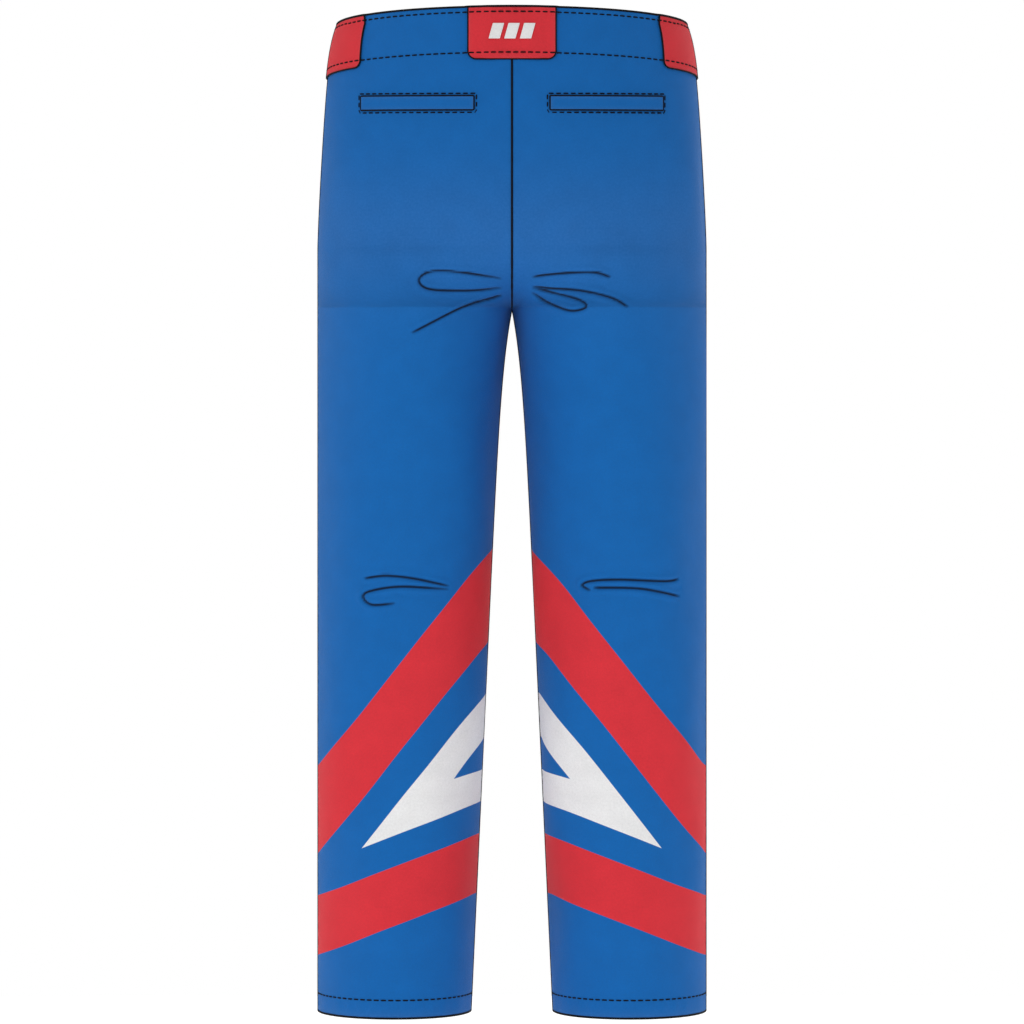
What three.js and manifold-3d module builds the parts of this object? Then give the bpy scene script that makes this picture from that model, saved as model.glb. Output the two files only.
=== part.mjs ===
// Long hockey pants, size M, held open as a wearer's body holds them.
// Millimetres, +Z up, +Y towards the wearer's front, +X to the wearer's right.
// The origin is the centre of the waist opening, level with the top of the back.
// Every panel is cut from one skin: skin(t, z, inset) walks round one half of
// the garment from the centre back (t = 0) over the side seam (t = 0.5) to the
// centre front (t = 1) and, below the crotch, once round the leg.

import * as THREE from "three";
import { mergeVertices } from "three/addons/utils/BufferGeometryUtils.js";
import Module from "manifold-3d";

// Whole garment
const backRise = 318; // top of the back down to the crotch
const inseam = 744; // crotch down to the hem
const waistWidth = 367; // side seam to side seam at the waist edge
const hipWidth = 411;
const hemWidth = 162; // across one leg
const hipLine = 256; // where the side reaches the full hip width
const frontDrop = 35; // the front waist edge is this much lower than the back
const hemDip = 7.5; // the hem curves down behind and up in front

// Half depths, back to front
const waistBack = 106;
const waistFront = 104;
const hipBack = 124;
const hipFront = 120;
const hemDepth = 87;
const underFly = 20; // straight front below the fly, before the crotch curve
const thighBack = 112; // just below the crotch
const thighFront = 108;
const thighEase = 2.2; // how fast the leg gets shallower below the crotch
const hipFullness = 0.68; // 1 is an ellipse, less is squarer at the hip
const seatSwell = 0.05; // extra depth where the seat runs into the legs
const swellLength = 200;
const seamReach = 0.17; // share of the way round that the crotch seam draws in

// Inner leg and waist shape
const crotchFlare = 9.4; // how far the inner legs part in the rounded crotch
const flareLength = 60;
const waistNip = 0.35; // share of the hip spring taken close to the waist edge

// Where the garment folds
const hipAbove = 68; // hip axis above the crotch
const hipClear = 140; // hip axis to the rigid part of the thigh
const hipFoldRise = 140; // the hip fold climbs this much towards the side
const foldGap = 1; // more room where the hip fold meets the round of the crotch
const kneeBelow = 299; // knee axis below the crotch
const kneeClear = 120; // knee axis to the rigid parts on both sides

// Cloth and layers
const gap = 0.3; // between pieces that touch
const cloth = 2.4; // outer panels
const interlining = 1;
const facing = 1.5;
const patch = 1.6; // tabs and welts
const sagRoom = 0.9; // inner flat pieces keep clear of the panel's facets

// Waistband, tabs and pockets
const bandHeight = 52;
const tabHeight = 56.5;
const backTabWidth = 93;
const badgeWidth = 50; // flat middle of the back tab
const badgeRise = 2.4; // its outer face above the panel
const sideTabStart = 0.321; // share of the way round from back to front
const weltStart = 40; // from the centre back
const weltLength = 119;
const weltHeight = 15;
const weltTop = 94.9; // below the top of the back
const slitHeight = 2;
const bagTop = 89;
const bagDepth = 118;
const bag = 1.8;
const labelWidth = 28;
const labelLength = 48;
const label = 0.6;
const hemTurnUp = 19;

// Fly, measured down and across from the top of the centre front
const flyOpening = 11;
const flyLength = 156;
const zipTop = 42.8; // top of the teeth
const zipBottom = 151;
const toothPitch = 4;
const toothReach = 2.7; // how far each row stands out from the centre line
const toothDepth = 2.8;
const tapeEdge = 17; // outer edge of each tape
const tape = 0.8;
const facingInner = 12;
const facingOuter = 22;
const sliderLength = 9;
const sliderHalf = 4.6;
const sliderWall = 1.6;
const postHalf = 1.1;
const lugHalf = 0.9;
const pullLength = 22;
const pullHalf = 2.6;
const pullThick = 1;

// Waist closure
const flapReach = 50;
const flapHeight = 28;
const flapTop = 4;
const hingeX = 24; // sewn edge of the flap
const flapBaseWidth = 20;
const snapX = -14;
const snapRadius = 6.5;

// How fine the solids are
const stepsRound = 24; // for one half of the garment
const seatRows = 9;
const foldRows = 6;
const thighRows = 3;
const shinRows = 5;
const turnSteps = 16;

const seam = gap / (Math.PI * (waistBack + waistFront)); // half a seam gap, in t
const curveTop = frontDrop + flyLength + underFly;
const crotchHeight = backRise - curveTop;
const outerX = hipWidth / 2;
const hemInnerX = outerX - hemWidth;

const wasm = await Module();
wasm.setup();

// ---- the skin ----

function sideX(z) {
  const sideTop = frontDrop / 2;
  const down = THREE.MathUtils.clamp((-z - sideTop) / (hipLine - sideTop), 0, 1);
  const nip = waistNip * (1 - down) ** 10 + (1 - waistNip) * (1 - down) ** 1.3;
  return outerX - ((hipWidth - waistWidth) / 2) * nip;
}

function innerX(z) {
  const down = Math.max(0, -z - backRise);
  const slope = (hemInnerX - crotchFlare) / inseam;
  return slope * down + crotchFlare * (1 - Math.exp(-down / flareLength));
}

function frontDepth(z) {
  const down = Math.min(1, (-z - frontDrop) / (curveTop - frontDrop));
  return waistFront + (hipFront - waistFront) * down;
}

function backDepth(z) {
  const down = THREE.MathUtils.clamp(-z / curveTop, 0, 1);
  return waistBack + (hipBack - waistBack) * (1 - (1 - down) ** 2);
}

const badgeY = (z) => -backDepth(z) - badgeRise;

function legDepth(top, z) {
  const down = THREE.MathUtils.clamp((-z - backRise) / inseam, 0, 1);
  return hemDepth + (top - hemDepth) * (1 - down) ** thighEase;
}

// the crotch curve's depth as a share of the trunk's: 1 above it, 0 below, round between
function crotchShare(z, inset) {
  const into = (-z - curveTop) / (crotchHeight - inset);
  return into <= 0 ? 1 : Math.sqrt(Math.max(0, 1 - into * into));
}

// 1 at the waist, squarer towards the hip
function fullness(z) {
  return THREE.MathUtils.lerp(1, hipFullness, THREE.MathUtils.smoothstep(-z, 0, curveTop));
}

function swell(z) {
  const down = THREE.MathUtils.clamp((-z - curveTop) / swellLength, 0, 1);
  return 1 + seatSwell * Math.sin(Math.PI * down) ** 2;
}

// The trunk's section turns into the leg's between the top and the foot of the
// crotch curve. There the leg's section is open where it meets its neighbour, and
// its two ends are drawn in to the crotch seam.
function skin(t, z, inset) {
  const behind = t < 0.5;
  const fromSeam = behind ? t : 1 - t;
  const out = behind ? -1 : 1;
  const trunk = (behind ? backDepth(z) : frontDepth(z)) - inset;
  const leg = legDepth(behind ? thighBack : thighFront, z) - inset;
  const share = crotchShare(z, inset);
  const seamY = z > -backRise + inset ? trunk * share : 0;
  const open = Math.asin(Math.min(1, seamY / leg));
  const turn = THREE.MathUtils.lerp(open, Math.PI, 2 * fromSeam);
  const half = (sideX(z) - innerX(z)) / 2 - inset;
  const middle = (sideX(z) + innerX(z)) / 2;
  const mix = 1 - THREE.MathUtils.smoothstep(-z, curveTop, backRise);
  const legX = -middle + half * Math.cos(turn);
  const legY = leg * Math.sin(turn);
  const trunkX = -(sideX(z) - inset) * Math.sin(Math.PI * fromSeam);
  const trunkY = trunk * Math.cos(Math.PI * fromSeam) ** fullness(z);
  let x = THREE.MathUtils.lerp(legX, trunkX, mix);
  let y = THREE.MathUtils.lerp(legY, trunkY, mix);
  if (seamY > 0) {
    const drawIn = 1 - THREE.MathUtils.smoothstep(fromSeam, 0, seamReach);
    const endX = THREE.MathUtils.lerp(-middle + half * Math.cos(open), 0, mix);
    const endY = THREE.MathUtils.lerp(leg * Math.sin(open), trunk, mix);
    x += (-inset * (1 - share) - endX) * drawIn;
    y += (seamY - endY) * drawIn;
  }
  return new THREE.Vector3(x, out * y * swell(z), z);
}

const topEdge = (t) => (-frontDrop * (1 - Math.cos(Math.PI * t))) / 2;
const hemEdge = (t) => -(backRise + inseam) - hemDip * Math.sin(2 * Math.PI * t);
const hipEdge = (t) => -backRise + (hipFoldRise * (1 - Math.cos(2 * Math.PI * t))) / 2;
const thighTop = () => -(backRise - hipAbove + hipClear);
const thighBottom = () => -(backRise + kneeBelow - kneeClear);
const shinTop = () => -(backRise + kneeBelow + kneeClear);
const below = (edge, by) => (t) => edge(t) - by;

// where a point at a distance from the centre line lies on the skin above the crotch
const tAt = (x, z) => Math.asin(x / sideX(z)) / Math.PI;

// ---- solids from the skin ----

// the shared lines round the garment between two places, with both ends
function lines(from, to) {
  const between = [];
  for (let i = 0; i <= stepsRound; i += 1) {
    const t = i / stepsRound;
    if (t > from + seam * 4 && t < to - seam * 4) between.push(t);
  }
  return [from, ...between, to];
}

const evenRows = (count) => Array.from({ length: count + 1 }, (_, i) => i / count);
const lowRows = (count) => evenRows(count).map((v) => Math.sin((v * Math.PI) / 2));

// the heights of a piece's rows at t, spread between two edges
const spread = (upper, lower, rows) => (t) =>
  rows.map((v) => THREE.MathUtils.lerp(upper(t), lower(t), v));

// rows that all the layers of the waistband share, so that their facets match
const bandRows = (drops) => (t) => drops.map((drop) => topEdge(t) - drop);

function closedSolid(points, faces) {
  const geometry = new THREE.BufferGeometry();
  const flat = points.flatMap((p) => [p.x, p.y, p.z]);
  geometry.setAttribute("position", new THREE.Float32BufferAttribute(flat, 3));
  geometry.setIndex(faces.flat());
  return facesOut(geometry);
}

function facesOut(geometry) {
  const place = geometry.attributes.position;
  const index = geometry.index.array;
  const a = new THREE.Vector3();
  const b = new THREE.Vector3();
  const c = new THREE.Vector3();
  let volume = 0;
  for (let i = 0; i < index.length; i += 3) {
    a.fromBufferAttribute(place, index[i]);
    b.fromBufferAttribute(place, index[i + 1]);
    c.fromBufferAttribute(place, index[i + 2]);
    volume += a.dot(b.cross(c));
  }
  if (volume < 0) {
    for (let i = 0; i < index.length; i += 3) {
      [index[i + 1], index[i + 2]] = [index[i + 2], index[i + 1]];
    }
  }
  geometry.computeVertexNormals();
  return geometry;
}

// faces of a slab: an outer grid of points, the inner grid after it, and the rims
function slabFaces(width, count, ring) {
  const back = count * width;
  const last = (count - 1) * width;
  const faces = [];
  const quad = (a, b, c, d) => faces.push([a, b, c], [a, c, d]);
  const columns = ring ? width : width - 1;
  for (let i = 0; i < columns; i += 1) {
    const next = (i + 1) % width;
    for (let j = 0; j < count - 1; j += 1) {
      const here = j * width;
      const under = here + width;
      quad(here + i, here + next, under + next, under + i);
      quad(back + here + i, back + under + i, back + under + next, back + here + next);
    }
    quad(i, back + i, back + next, next);
    quad(last + i, last + next, back + last + next, back + last + i);
  }
  if (!ring) {
    const end = width - 1;
    for (let j = 0; j < count - 1; j += 1) {
      const here = j * width;
      const under = here + width;
      quad(here, under, back + under, back + here);
      quad(here + end, back + here + end, back + under + end, under + end);
    }
  }
  return faces;
}

// a layer of cloth: across the given lines, at the given heights, between two insets
function layer({ across, heights, outside, inside, ring = false }) {
  const width = across.length;
  const rows = heights(across[0]);
  const points = [];
  for (const inset of [outside, inside]) {
    rows.forEach((_, row) => {
      const edge = row === 0 ? -gap / 2 : row === rows.length - 1 ? gap / 2 : 0;
      for (const t of across) points.push(skin(t, heights(t)[row] + edge, inset));
    });
  }
  return closedSolid(points, slabFaces(width, rows.length, ring));
}

function mirrored(geometry) {
  const copy = geometry.clone();
  copy.applyMatrix4(new THREE.Matrix4().makeScale(-1, 1, 1));
  return facesOut(copy);
}

// ---- joining and cutting ----

function toSolid(geometry) {
  const bare = geometry.clone();
  for (const name of Object.keys(bare.attributes)) {
    if (name !== "position") bare.deleteAttribute(name);
  }
  const merged = mergeVertices(bare, 1e-4);
  return new wasm.Manifold(
    new wasm.Mesh({
      numProp: 3,
      vertProperties: new Float32Array(merged.attributes.position.array),
      triVerts: new Uint32Array(merged.index.array),
    }),
  );
}

function fromSolid(solid) {
  const mesh = solid.getMesh();
  const geometry = new THREE.BufferGeometry();
  geometry.setAttribute("position", new THREE.BufferAttribute(mesh.vertProperties, 3));
  geometry.setIndex(new THREE.BufferAttribute(mesh.triVerts, 1));
  geometry.computeVertexNormals();
  return geometry;
}

const cut = (geometry, tool) => fromSolid(toSolid(geometry).subtract(toSolid(tool)));

function join(...geometries) {
  return fromSolid(geometries.map(toSolid).reduce((all, one) => all.add(one)));
}

// ---- flat and turned pieces, standing on the fly's plane: x across, y out, z up ----

function block(x0, x1, y0, y1, z0, z1) {
  const box = new THREE.BoxGeometry(x1 - x0, y1 - y0, z1 - z0);
  box.translate((x0 + x1) / 2, (y0 + y1) / 2, (z0 + z1) / 2);
  return box;
}

function plate(outline, y0, y1) {
  const points = outline.map(([x, z]) => new THREE.Vector2(x, z));
  const options = { depth: y1 - y0, bevelEnabled: false, curveSegments: turnSteps };
  const solid = new THREE.ExtrudeGeometry(new THREE.Shape(points), options);
  solid.rotateX(Math.PI / 2);
  solid.translate(0, y1, 0);
  return mergeVertices(solid);
}

function turned(profile) {
  const points = profile.map(([r, y]) => new THREE.Vector2(r, y));
  const solid = new THREE.LatheGeometry(points, turnSteps);
  for (const name of ["normal", "uv"]) solid.deleteAttribute(name);
  return facesOut(mergeVertices(solid, 1e-4));
}

// ---- materials ----

const finish = (color, roughness, metalness) =>
  new THREE.MeshStandardMaterial({ color, roughness, metalness });

const shellBlue = finish("#1567b0", 0.85, 0);
const trimRed = finish("#d93640", 0.8, 0);
const lining = finish("#12456f", 0.9, 0);
const labelWhite = finish("#f2f1ec", 0.8, 0);
const zipTape = finish("#0f2f4f", 0.85, 0);
const zipMetal = finish("#8d9196", 0.35, 1);
const snapMetal = finish("#b4b8bb", 0.25, 1);

const pants = new THREE.Group();

function add(name, geometry, material, parent = pants) {
  const mesh = new THREE.Mesh(geometry, material);
  mesh.name = name;
  parent.add(mesh);
  return mesh;
}

function addPair(name, geometry, material, parent = pants) {
  add(`left_${name}`, geometry, material, parent);
  add(`right_${name}`, mirrored(geometry), material, parent);
}

// ---- outer panels, back and front, seat down to hem ----

const zipTilt = Math.atan((hipFront - waistFront) / (curveTop - frontDrop));
const fly = new THREE.Group();
fly.position.set(0, waistFront, -frontDrop);
fly.rotation.x = zipTilt;
fly.updateMatrix();

const flyHole = block(
  -flyOpening / 2, flyOpening / 2, -4 * cloth, 4 * cloth, -flyLength, frontDrop,
);
flyHole.applyMatrix4(fly.matrix);

const weltMiddle = -weltTop - weltHeight / 2;
const weltEnd = weltStart + weltLength;
const slit = block(
  -weltEnd + gap * 10, -weltStart - gap * 10, -waistWidth, -hipBack / 4,
  weltMiddle - slitHeight / 2, weltMiddle + slitHeight / 2,
);

const backLines = lines(seam, 0.5 - seam);
const frontLines = lines(0.5 + seam, 1 - seam);
const bandToTab = [0, bandHeight / 2, bandHeight, tabHeight];
const underTab = below(topEdge, tabHeight);
const seatUnderTab = spread(underTab, hipEdge, lowRows(seatRows).slice(1));
const stretches = {
  seat: (t) => [...bandRows(bandToTab)(t), ...seatUnderTab(t)],
  hip_fold: spread(below(hipEdge, foldGap), thighTop, evenRows(foldRows)),
  thigh: spread(thighTop, thighBottom, evenRows(thighRows)),
  knee_fold: spread(thighBottom, shinTop, evenRows(foldRows)),
  shin: spread(shinTop, hemEdge, evenRows(shinRows)),
};
for (const [name, heights] of Object.entries(stretches)) {
  const sizes = { heights, outside: 0, inside: cloth };
  const back = layer({ across: backLines, ...sizes });
  const front = layer({ across: frontLines, ...sizes });
  const isSeat = name === "seat";
  addPair(`${name}_back`, isSeat ? cut(back, slit) : back, shellBlue);
  addPair(`${name}_front`, isSeat ? cut(front, flyHole) : front, shellBlue);
}

// ---- hem and waist, turned to the inside ----

const roundLeg = lines(0, 1).slice(0, -1);
const hemFacing = layer({
  across: roundLeg,
  heights: spread(below(hemEdge, -hemTurnUp), hemEdge, evenRows(1)),
  outside: cloth + gap,
  inside: cloth + gap + facing,
  ring: true,
});
addPair("hem_facing", hemFacing, shellBlue);

const bandFrontEnd = 1 - tAt(facingOuter + 2, -frontDrop);
const bandSizes = {
  across: lines(seam, bandFrontEnd),
  heights: bandRows([gap, bandHeight / 2, bandHeight]),
};
const interliningInset = cloth + gap;
const facingInset = interliningInset + interlining + gap;
const bandInterlining = layer({
  ...bandSizes,
  outside: interliningInset,
  inside: interliningInset + interlining,
});
addPair("waist_interlining", bandInterlining, labelWhite);
const bandFacing = layer({
  ...bandSizes,
  outside: facingInset,
  inside: facingInset + facing,
});
addPair("waist_facing", bandFacing, shellBlue);

// ---- red tabs over the waistband ----

const sideTab = layer({
  across: lines(sideTabStart, 1 - sideTabStart),
  heights: bandRows(bandToTab),
  outside: -gap - patch,
  inside: -gap,
});
addPair("side_tab", sideTab, trimRed);

// The middle of the back tab is flat outside, as a backing for a badge.
function backTab() {
  const half = backTabWidth / 2;
  const flat = badgeWidth / 2;
  const heights = [-gap, -bandHeight / 2, -bandHeight, -tabHeight];
  const ends = [heights[0], heights[heights.length - 1]];
  const faceY = (z) => THREE.MathUtils.mapLinear(z, ...ends, ...ends.map(badgeY));
  const xs = [-half, -flat, 0, flat, half];
  const points = [];
  for (const outer of [true, false]) {
    for (const z of heights) {
      for (const x of xs) {
        const onSkin = skin(tAt(Math.abs(x), z), z, outer ? -gap - patch : -gap);
        const y = outer && Math.abs(x) <= flat ? faceY(z) : onSkin.y;
        points.push(new THREE.Vector3(x, y, z));
      }
    }
  }
  return closedSolid(points, slabFaces(xs.length, heights.length, false));
}
add("center_back_tab", backTab(), trimRed);

// ---- back pockets: a welt over the slit and a flat bag behind it ----

const weltLines = lines(tAt(weltStart, weltMiddle), tAt(weltEnd, weltMiddle));
const welt = layer({
  across: weltLines,
  heights: () => [-weltTop, -weltTop - weltHeight],
  outside: -gap - patch,
  inside: -gap,
});
addPair("pocket_welt", welt, shellBlue);

const bagInset = cloth + gap + sagRoom;
const pocketBag = layer({
  across: weltLines,
  heights: spread(() => -bagTop, () => -bagTop - bagDepth, evenRows(4)),
  outside: bagInset,
  inside: bagInset + bag,
});
addPair("pocket_bag", pocketBag, lining);

const labelTop = -bandHeight + labelLength / 4;
const labelInset = facingInset + facing + gap;
const labelStart = tAt(gap * 20, -bandHeight);
const labelEnd = tAt(gap * 20 + labelWidth, -bandHeight);
const careLabel = layer({
  across: [labelStart, labelEnd],
  heights: spread(() => labelTop, () => labelTop - labelLength, evenRows(2)),
  outside: labelInset + sagRoom / 2,
  inside: labelInset + sagRoom / 2 + label,
});
add("care_label", careLabel, labelWhite);

// ---- fly: tapes, teeth, slider and the layers behind them ----

const tapeFront = -cloth - gap - sagRoom / 2 - 0.05;
const tapeBack = tapeFront - tape;
const toothFront = -cloth;
const toothBack = toothFront - toothDepth;
const backPlateFront = toothBack - 0.4;
const backPlateBack = backPlateFront - sliderWall;
const shieldFront = backPlateBack - gap;

const zipTapeSolid = block(
  -tapeEdge, -toothReach - 2 * gap, tapeBack, tapeFront, -flyLength - 4, -zipTop + 6,
);
addPair("zip_tape", zipTapeSolid, zipTape, fly);

// One row of teeth: a cord with square teeth that reach in to the centre line.
function teethRow() {
  const outer = -toothReach - gap;
  const root = -toothReach * 0.6;
  const tip = -gap / 2;
  const count = Math.floor((zipBottom - zipTop) / toothPitch);
  const outline = [[outer, -zipTop]];
  outline.push([outer, -zipTop - count * toothPitch]);
  for (let i = count; i > 0; i -= 1) {
    const low = -zipTop - i * toothPitch;
    const high = low + toothPitch;
    const mid = (low + high) / 2;
    outline.push([root, low], [root, mid], [tip, mid], [tip, high - gap]);
    outline.push([root, high - gap]);
  }
  outline.push([root, -zipTop]);
  const tidy = outline.filter((point, i) => {
    const before = outline[(i + outline.length - 1) % outline.length];
    return Math.hypot(point[0] - before[0], point[1] - before[1]) > 1e-6;
  });
  return facesOut(plate(tidy, toothBack, toothFront));
}
addPair("zip_teeth", teethRow(), zipMetal, fly);

const stopSolid = block(
  -toothReach - gap, -postHalf - gap, toothBack, toothFront, -zipTop + gap, -zipTop + 1.9,
);
addPair("zip_top_stop", stopSolid, zipMetal, fly);
const bottomStop = block(
  -toothReach, toothReach, toothBack, toothFront, -flyLength + gap, -zipBottom - 4 * gap,
);
add("zip_bottom_stop", bottomStop, zipMetal, fly);

// The slider's two plates are joined by its post, and its flanges close in on the tape.
const sliderMiddle = -zipTop - 1.2;
const slider = new THREE.Group();
slider.position.set(0, 0, sliderMiddle);
fly.add(slider);

const frontPlateFront = toothFront + 0.4 + sliderWall;
const frontPlateBack = toothFront + 0.4;
const flangeInner = toothReach + gap + 0.6;
const halfLength = sliderLength / 2;
const lugMiddle = 1.5;
const pullY = frontPlateFront + 1.1;
const lugTop = pullY + 1.7;
const plateShape = [
  [-sliderHalf, halfLength],
  [-sliderHalf * 0.85, -halfLength],
  [sliderHalf * 0.85, -halfLength],
  [sliderHalf, halfLength],
];

const flange = (side, y0, y1) => {
  const x = [side * flangeInner, side * sliderHalf].sort((a, b) => a - b);
  return block(x[0], x[1], y0, y1, 0, halfLength);
};
const sliderSolid = join(
  plate(plateShape, frontPlateBack, frontPlateFront),
  plate(plateShape, backPlateBack, backPlateFront),
  block(-postHalf, postHalf, backPlateFront - 0.5, frontPlateBack + 0.5, 1.5, halfLength),
  flange(-1, tapeFront + gap, frontPlateBack + 0.5),
  flange(1, tapeFront + gap, frontPlateBack + 0.5),
  flange(-1, backPlateFront - 0.5, tapeBack - gap),
  flange(1, backPlateFront - 0.5, tapeBack - gap),
  cut(
    block(-lugHalf, lugHalf, frontPlateFront - 0.5, lugTop, lugMiddle - 1.7, lugMiddle + 1.7),
    block(-2, 2, pullY - 0.9, pullY + 0.9, lugMiddle - 0.95, lugMiddle + 0.95),
  ),
);
add("zip_slider", sliderSolid, zipMetal, slider);

// The pull hangs from a bar through the slider's lug.
const pull = new THREE.Group();
pull.position.set(0, pullY, lugMiddle);
slider.add(pull);
const pullWindow = block(
  -lugHalf - gap, lugHalf + gap, -pullThick, pullThick, -3.2, -pullThick / 2,
);
const pullBody = plate(
  [
    [-pullHalf, pullThick / 2],
    [-pullHalf, -pullLength + 2],
    [-pullHalf + 1.5, -pullLength],
    [pullHalf - 1.5, -pullLength],
    [pullHalf, -pullLength + 2],
    [pullHalf, pullThick / 2],
  ],
  -pullThick / 2,
  pullThick / 2,
);
add("zip_pull", cut(pullBody, pullWindow), zipMetal, pull);

const foldedFacing = block(
  -facingOuter, -facingInner, shieldFront + gap, tapeBack - gap, -flyLength - 4, -flapTop,
);
addPair("fly_facing", foldedFacing, shellBlue, fly);
const flyShield = block(
  -facingOuter, facingOuter, shieldFront - patch, shieldFront, -flyLength - 8, -flapTop,
);
add("fly_shield", flyShield, shellBlue, fly);

// ---- waist closure: a flap that swings out from its sewn edge, and a press snap ----

const snapBase = -0.2;
const studTop = snapBase + 2.1;
const flapBack = studTop + 0.4;
const flapFront = flapBack + patch;
const flapBottom = -flapTop - flapHeight;
const flapMiddle = (-flapTop + flapBottom) / 2;

const flap = new THREE.Group();
flap.position.set(hingeX, flapBack, 0);
fly.add(flap);
const corner = 6;
const flapShape = [
  [-gap, -flapTop],
  [-flapReach + corner, -flapTop],
  [-flapReach, -flapTop - corner],
  [-flapReach, flapBottom + corner],
  [-flapReach + corner, flapBottom],
  [-gap, flapBottom],
];
add("closure_flap", plate(flapShape, 0, patch), trimRed, flap);

const snapSpot = (geometry, x) => geometry.translate(x, 0, flapMiddle);
const cap = turned([
  [0, patch + gap],
  [snapRadius, patch + gap],
  [snapRadius, patch + gap + 0.6],
  [snapRadius * 0.75, patch + gap + 1.4],
  [0, patch + gap + 1.8],
]);
add("snap_cap", snapSpot(cap, snapX - hingeX), snapMetal, flap);
const socket = turned([
  [2.4, -gap - 0.6],
  [snapRadius * 0.77, -gap - 0.6],
  [snapRadius * 0.77, -gap],
  [2.4, -gap],
  [2.4, -gap - 0.6],
]);
add("snap_socket", snapSpot(socket, snapX - hingeX), snapMetal, flap);
const stud = turned([
  [0, snapBase],
  [snapRadius * 0.85, snapBase],
  [snapRadius * 0.85, snapBase + 1],
  [2, snapBase + 1.2],
  [2, studTop],
  [0, studTop],
]);
add("snap_stud", snapSpot(stud, snapX), snapMetal, fly);

// The sewn end of the flap lies on the right front panel.
const baseNear = tAt(hingeX + gap, -frontDrop);
const baseFar = tAt(hingeX + flapBaseWidth, -frontDrop);
const flapBase = layer({
  across: lines(1 - baseFar, 1 - baseNear),
  heights: () => [-frontDrop - flapTop, -frontDrop - flapTop - flapHeight],
  outside: -gap - patch,
  inside: -gap,
});
add("closure_base", mirrored(flapBase), trimRed);

pants.add(fly);

export default pants;
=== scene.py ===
# %% [markdown]
# # Long hockey pants
# The pants are cut from eight outer panels: two for each leg behind and two in
# front, the upper ones running from the waist edge to the middle of the thigh.
# Sewn to them are a waistband, two back pockets, a fly with a zip, three red tabs
# and turned-up hems. Cloth is thin, so every panel is a closed sheet made in mesh
# code over one pattern surface, and small hard parts are shaped with operators.

# %% The frame and the tools
import math

import bmesh
import bpy
import numpy as np
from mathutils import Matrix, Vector


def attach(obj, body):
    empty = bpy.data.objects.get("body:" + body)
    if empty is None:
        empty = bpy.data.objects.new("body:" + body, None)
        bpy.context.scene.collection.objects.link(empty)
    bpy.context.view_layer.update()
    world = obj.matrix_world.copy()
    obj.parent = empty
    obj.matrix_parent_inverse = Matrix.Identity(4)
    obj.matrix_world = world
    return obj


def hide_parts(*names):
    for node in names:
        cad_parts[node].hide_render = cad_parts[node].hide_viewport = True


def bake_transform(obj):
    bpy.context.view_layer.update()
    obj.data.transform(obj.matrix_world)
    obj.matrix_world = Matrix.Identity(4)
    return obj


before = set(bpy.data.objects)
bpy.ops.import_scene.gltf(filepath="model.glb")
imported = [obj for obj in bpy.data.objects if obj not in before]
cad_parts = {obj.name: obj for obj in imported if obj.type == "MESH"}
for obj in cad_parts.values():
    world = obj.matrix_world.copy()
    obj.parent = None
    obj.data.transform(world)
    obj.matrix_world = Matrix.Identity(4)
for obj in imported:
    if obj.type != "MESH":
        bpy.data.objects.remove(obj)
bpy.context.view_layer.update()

bpy.ops.object.select_all(action="DESELECT")

# %% [markdown]
# ## Camera, light and floor
# The back of the pants is seen straight on. A long lens far away keeps the two
# legs parallel, as a cutter's drawing shows them. A pale floor and large soft
# lights in front and behind leave the colours as they are.

# %% Camera
camera_data = bpy.data.cameras.new("camera")
camera_data.lens = 800
camera_data.sensor_width = 36
camera_data.clip_end = 200
camera = bpy.data.objects.new("camera", camera_data)
camera.location = (0, -24.12, -0.534)
camera.rotation_euler = (math.pi / 2, 0, 0)
bpy.context.collection.objects.link(camera)
bpy.context.scene.camera = camera
bpy.context.scene.view_settings.view_transform = "Standard"
print("camera", tuple(round(v, 3) for v in camera.location))


# %% Soft lights
def soft_light(name, place, target, size, power):
    data = bpy.data.lights.new(name, "AREA")
    data.size = size
    data.energy = power
    light = bpy.data.objects.new(name, data)
    light.location = place
    light.rotation_euler = (Vector(target) - Vector(place)).to_track_quat("-Z", "Y").to_euler()
    bpy.context.collection.objects.link(light)
    return light


middle = (0, 0, -0.5)
soft_light("key_light", (-2.4, -3.4, 1.3), middle, 2.2, 34)
soft_light("back_key_light", (2.4, 3.4, 1.3), middle, 2.2, 34)

# %% A white room
room = bpy.data.worlds.new("room")
room.use_nodes = True
room_nodes = room.node_tree.nodes
air = room_nodes["Background"]
air.inputs["Color"].default_value = (1, 1, 1, 1)
seen = room_nodes.new("ShaderNodeLightPath")
strength = room_nodes.new("ShaderNodeMapRange")
strength.inputs["To Min"].default_value = 0.62
strength.inputs["To Max"].default_value = 1.0
room.node_tree.links.new(seen.outputs["Is Camera Ray"], strength.inputs["Value"])
room.node_tree.links.new(strength.outputs["Result"], air.inputs["Strength"])
bpy.context.scene.world = room

bpy.ops.mesh.primitive_circle_add(vertices=96, radius=2.5, fill_type="NGON", location=(0, 0, -1.1))
floor = bpy.context.object
floor.name = "floor"
floor_paint = bpy.data.materials.new("pale_floor")
floor_paint.use_nodes = True
floor_shader = floor_paint.node_tree.nodes["Principled BSDF"]
floor_look = {
    "Base Color": (0.9, 0.9, 0.9, 1), "Roughness": 0.9,
    "Emission Color": (1, 1, 1, 1), "Emission Strength": 0.5,
}
for socket, value in floor_look.items():
    floor_shader.inputs[socket].default_value = value
floor.data.materials.append(floor_paint)
floor.select_set(False)
print("floor at", floor.location.z)

# %% [markdown]
# ## Finishes
# The shell is a matt polyester twill. A twill shows fine slanting ribs up close,
# a soft sheen at its edges and slightly uneven dye from farther away, so the
# finish is built of those three. The patterns follow two attributes: `weave`, which
# every cloth piece carries, is the distance along its threads in metres, and
# `print`, on the outer panels, is where the point lies on the laid-out pants.

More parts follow.
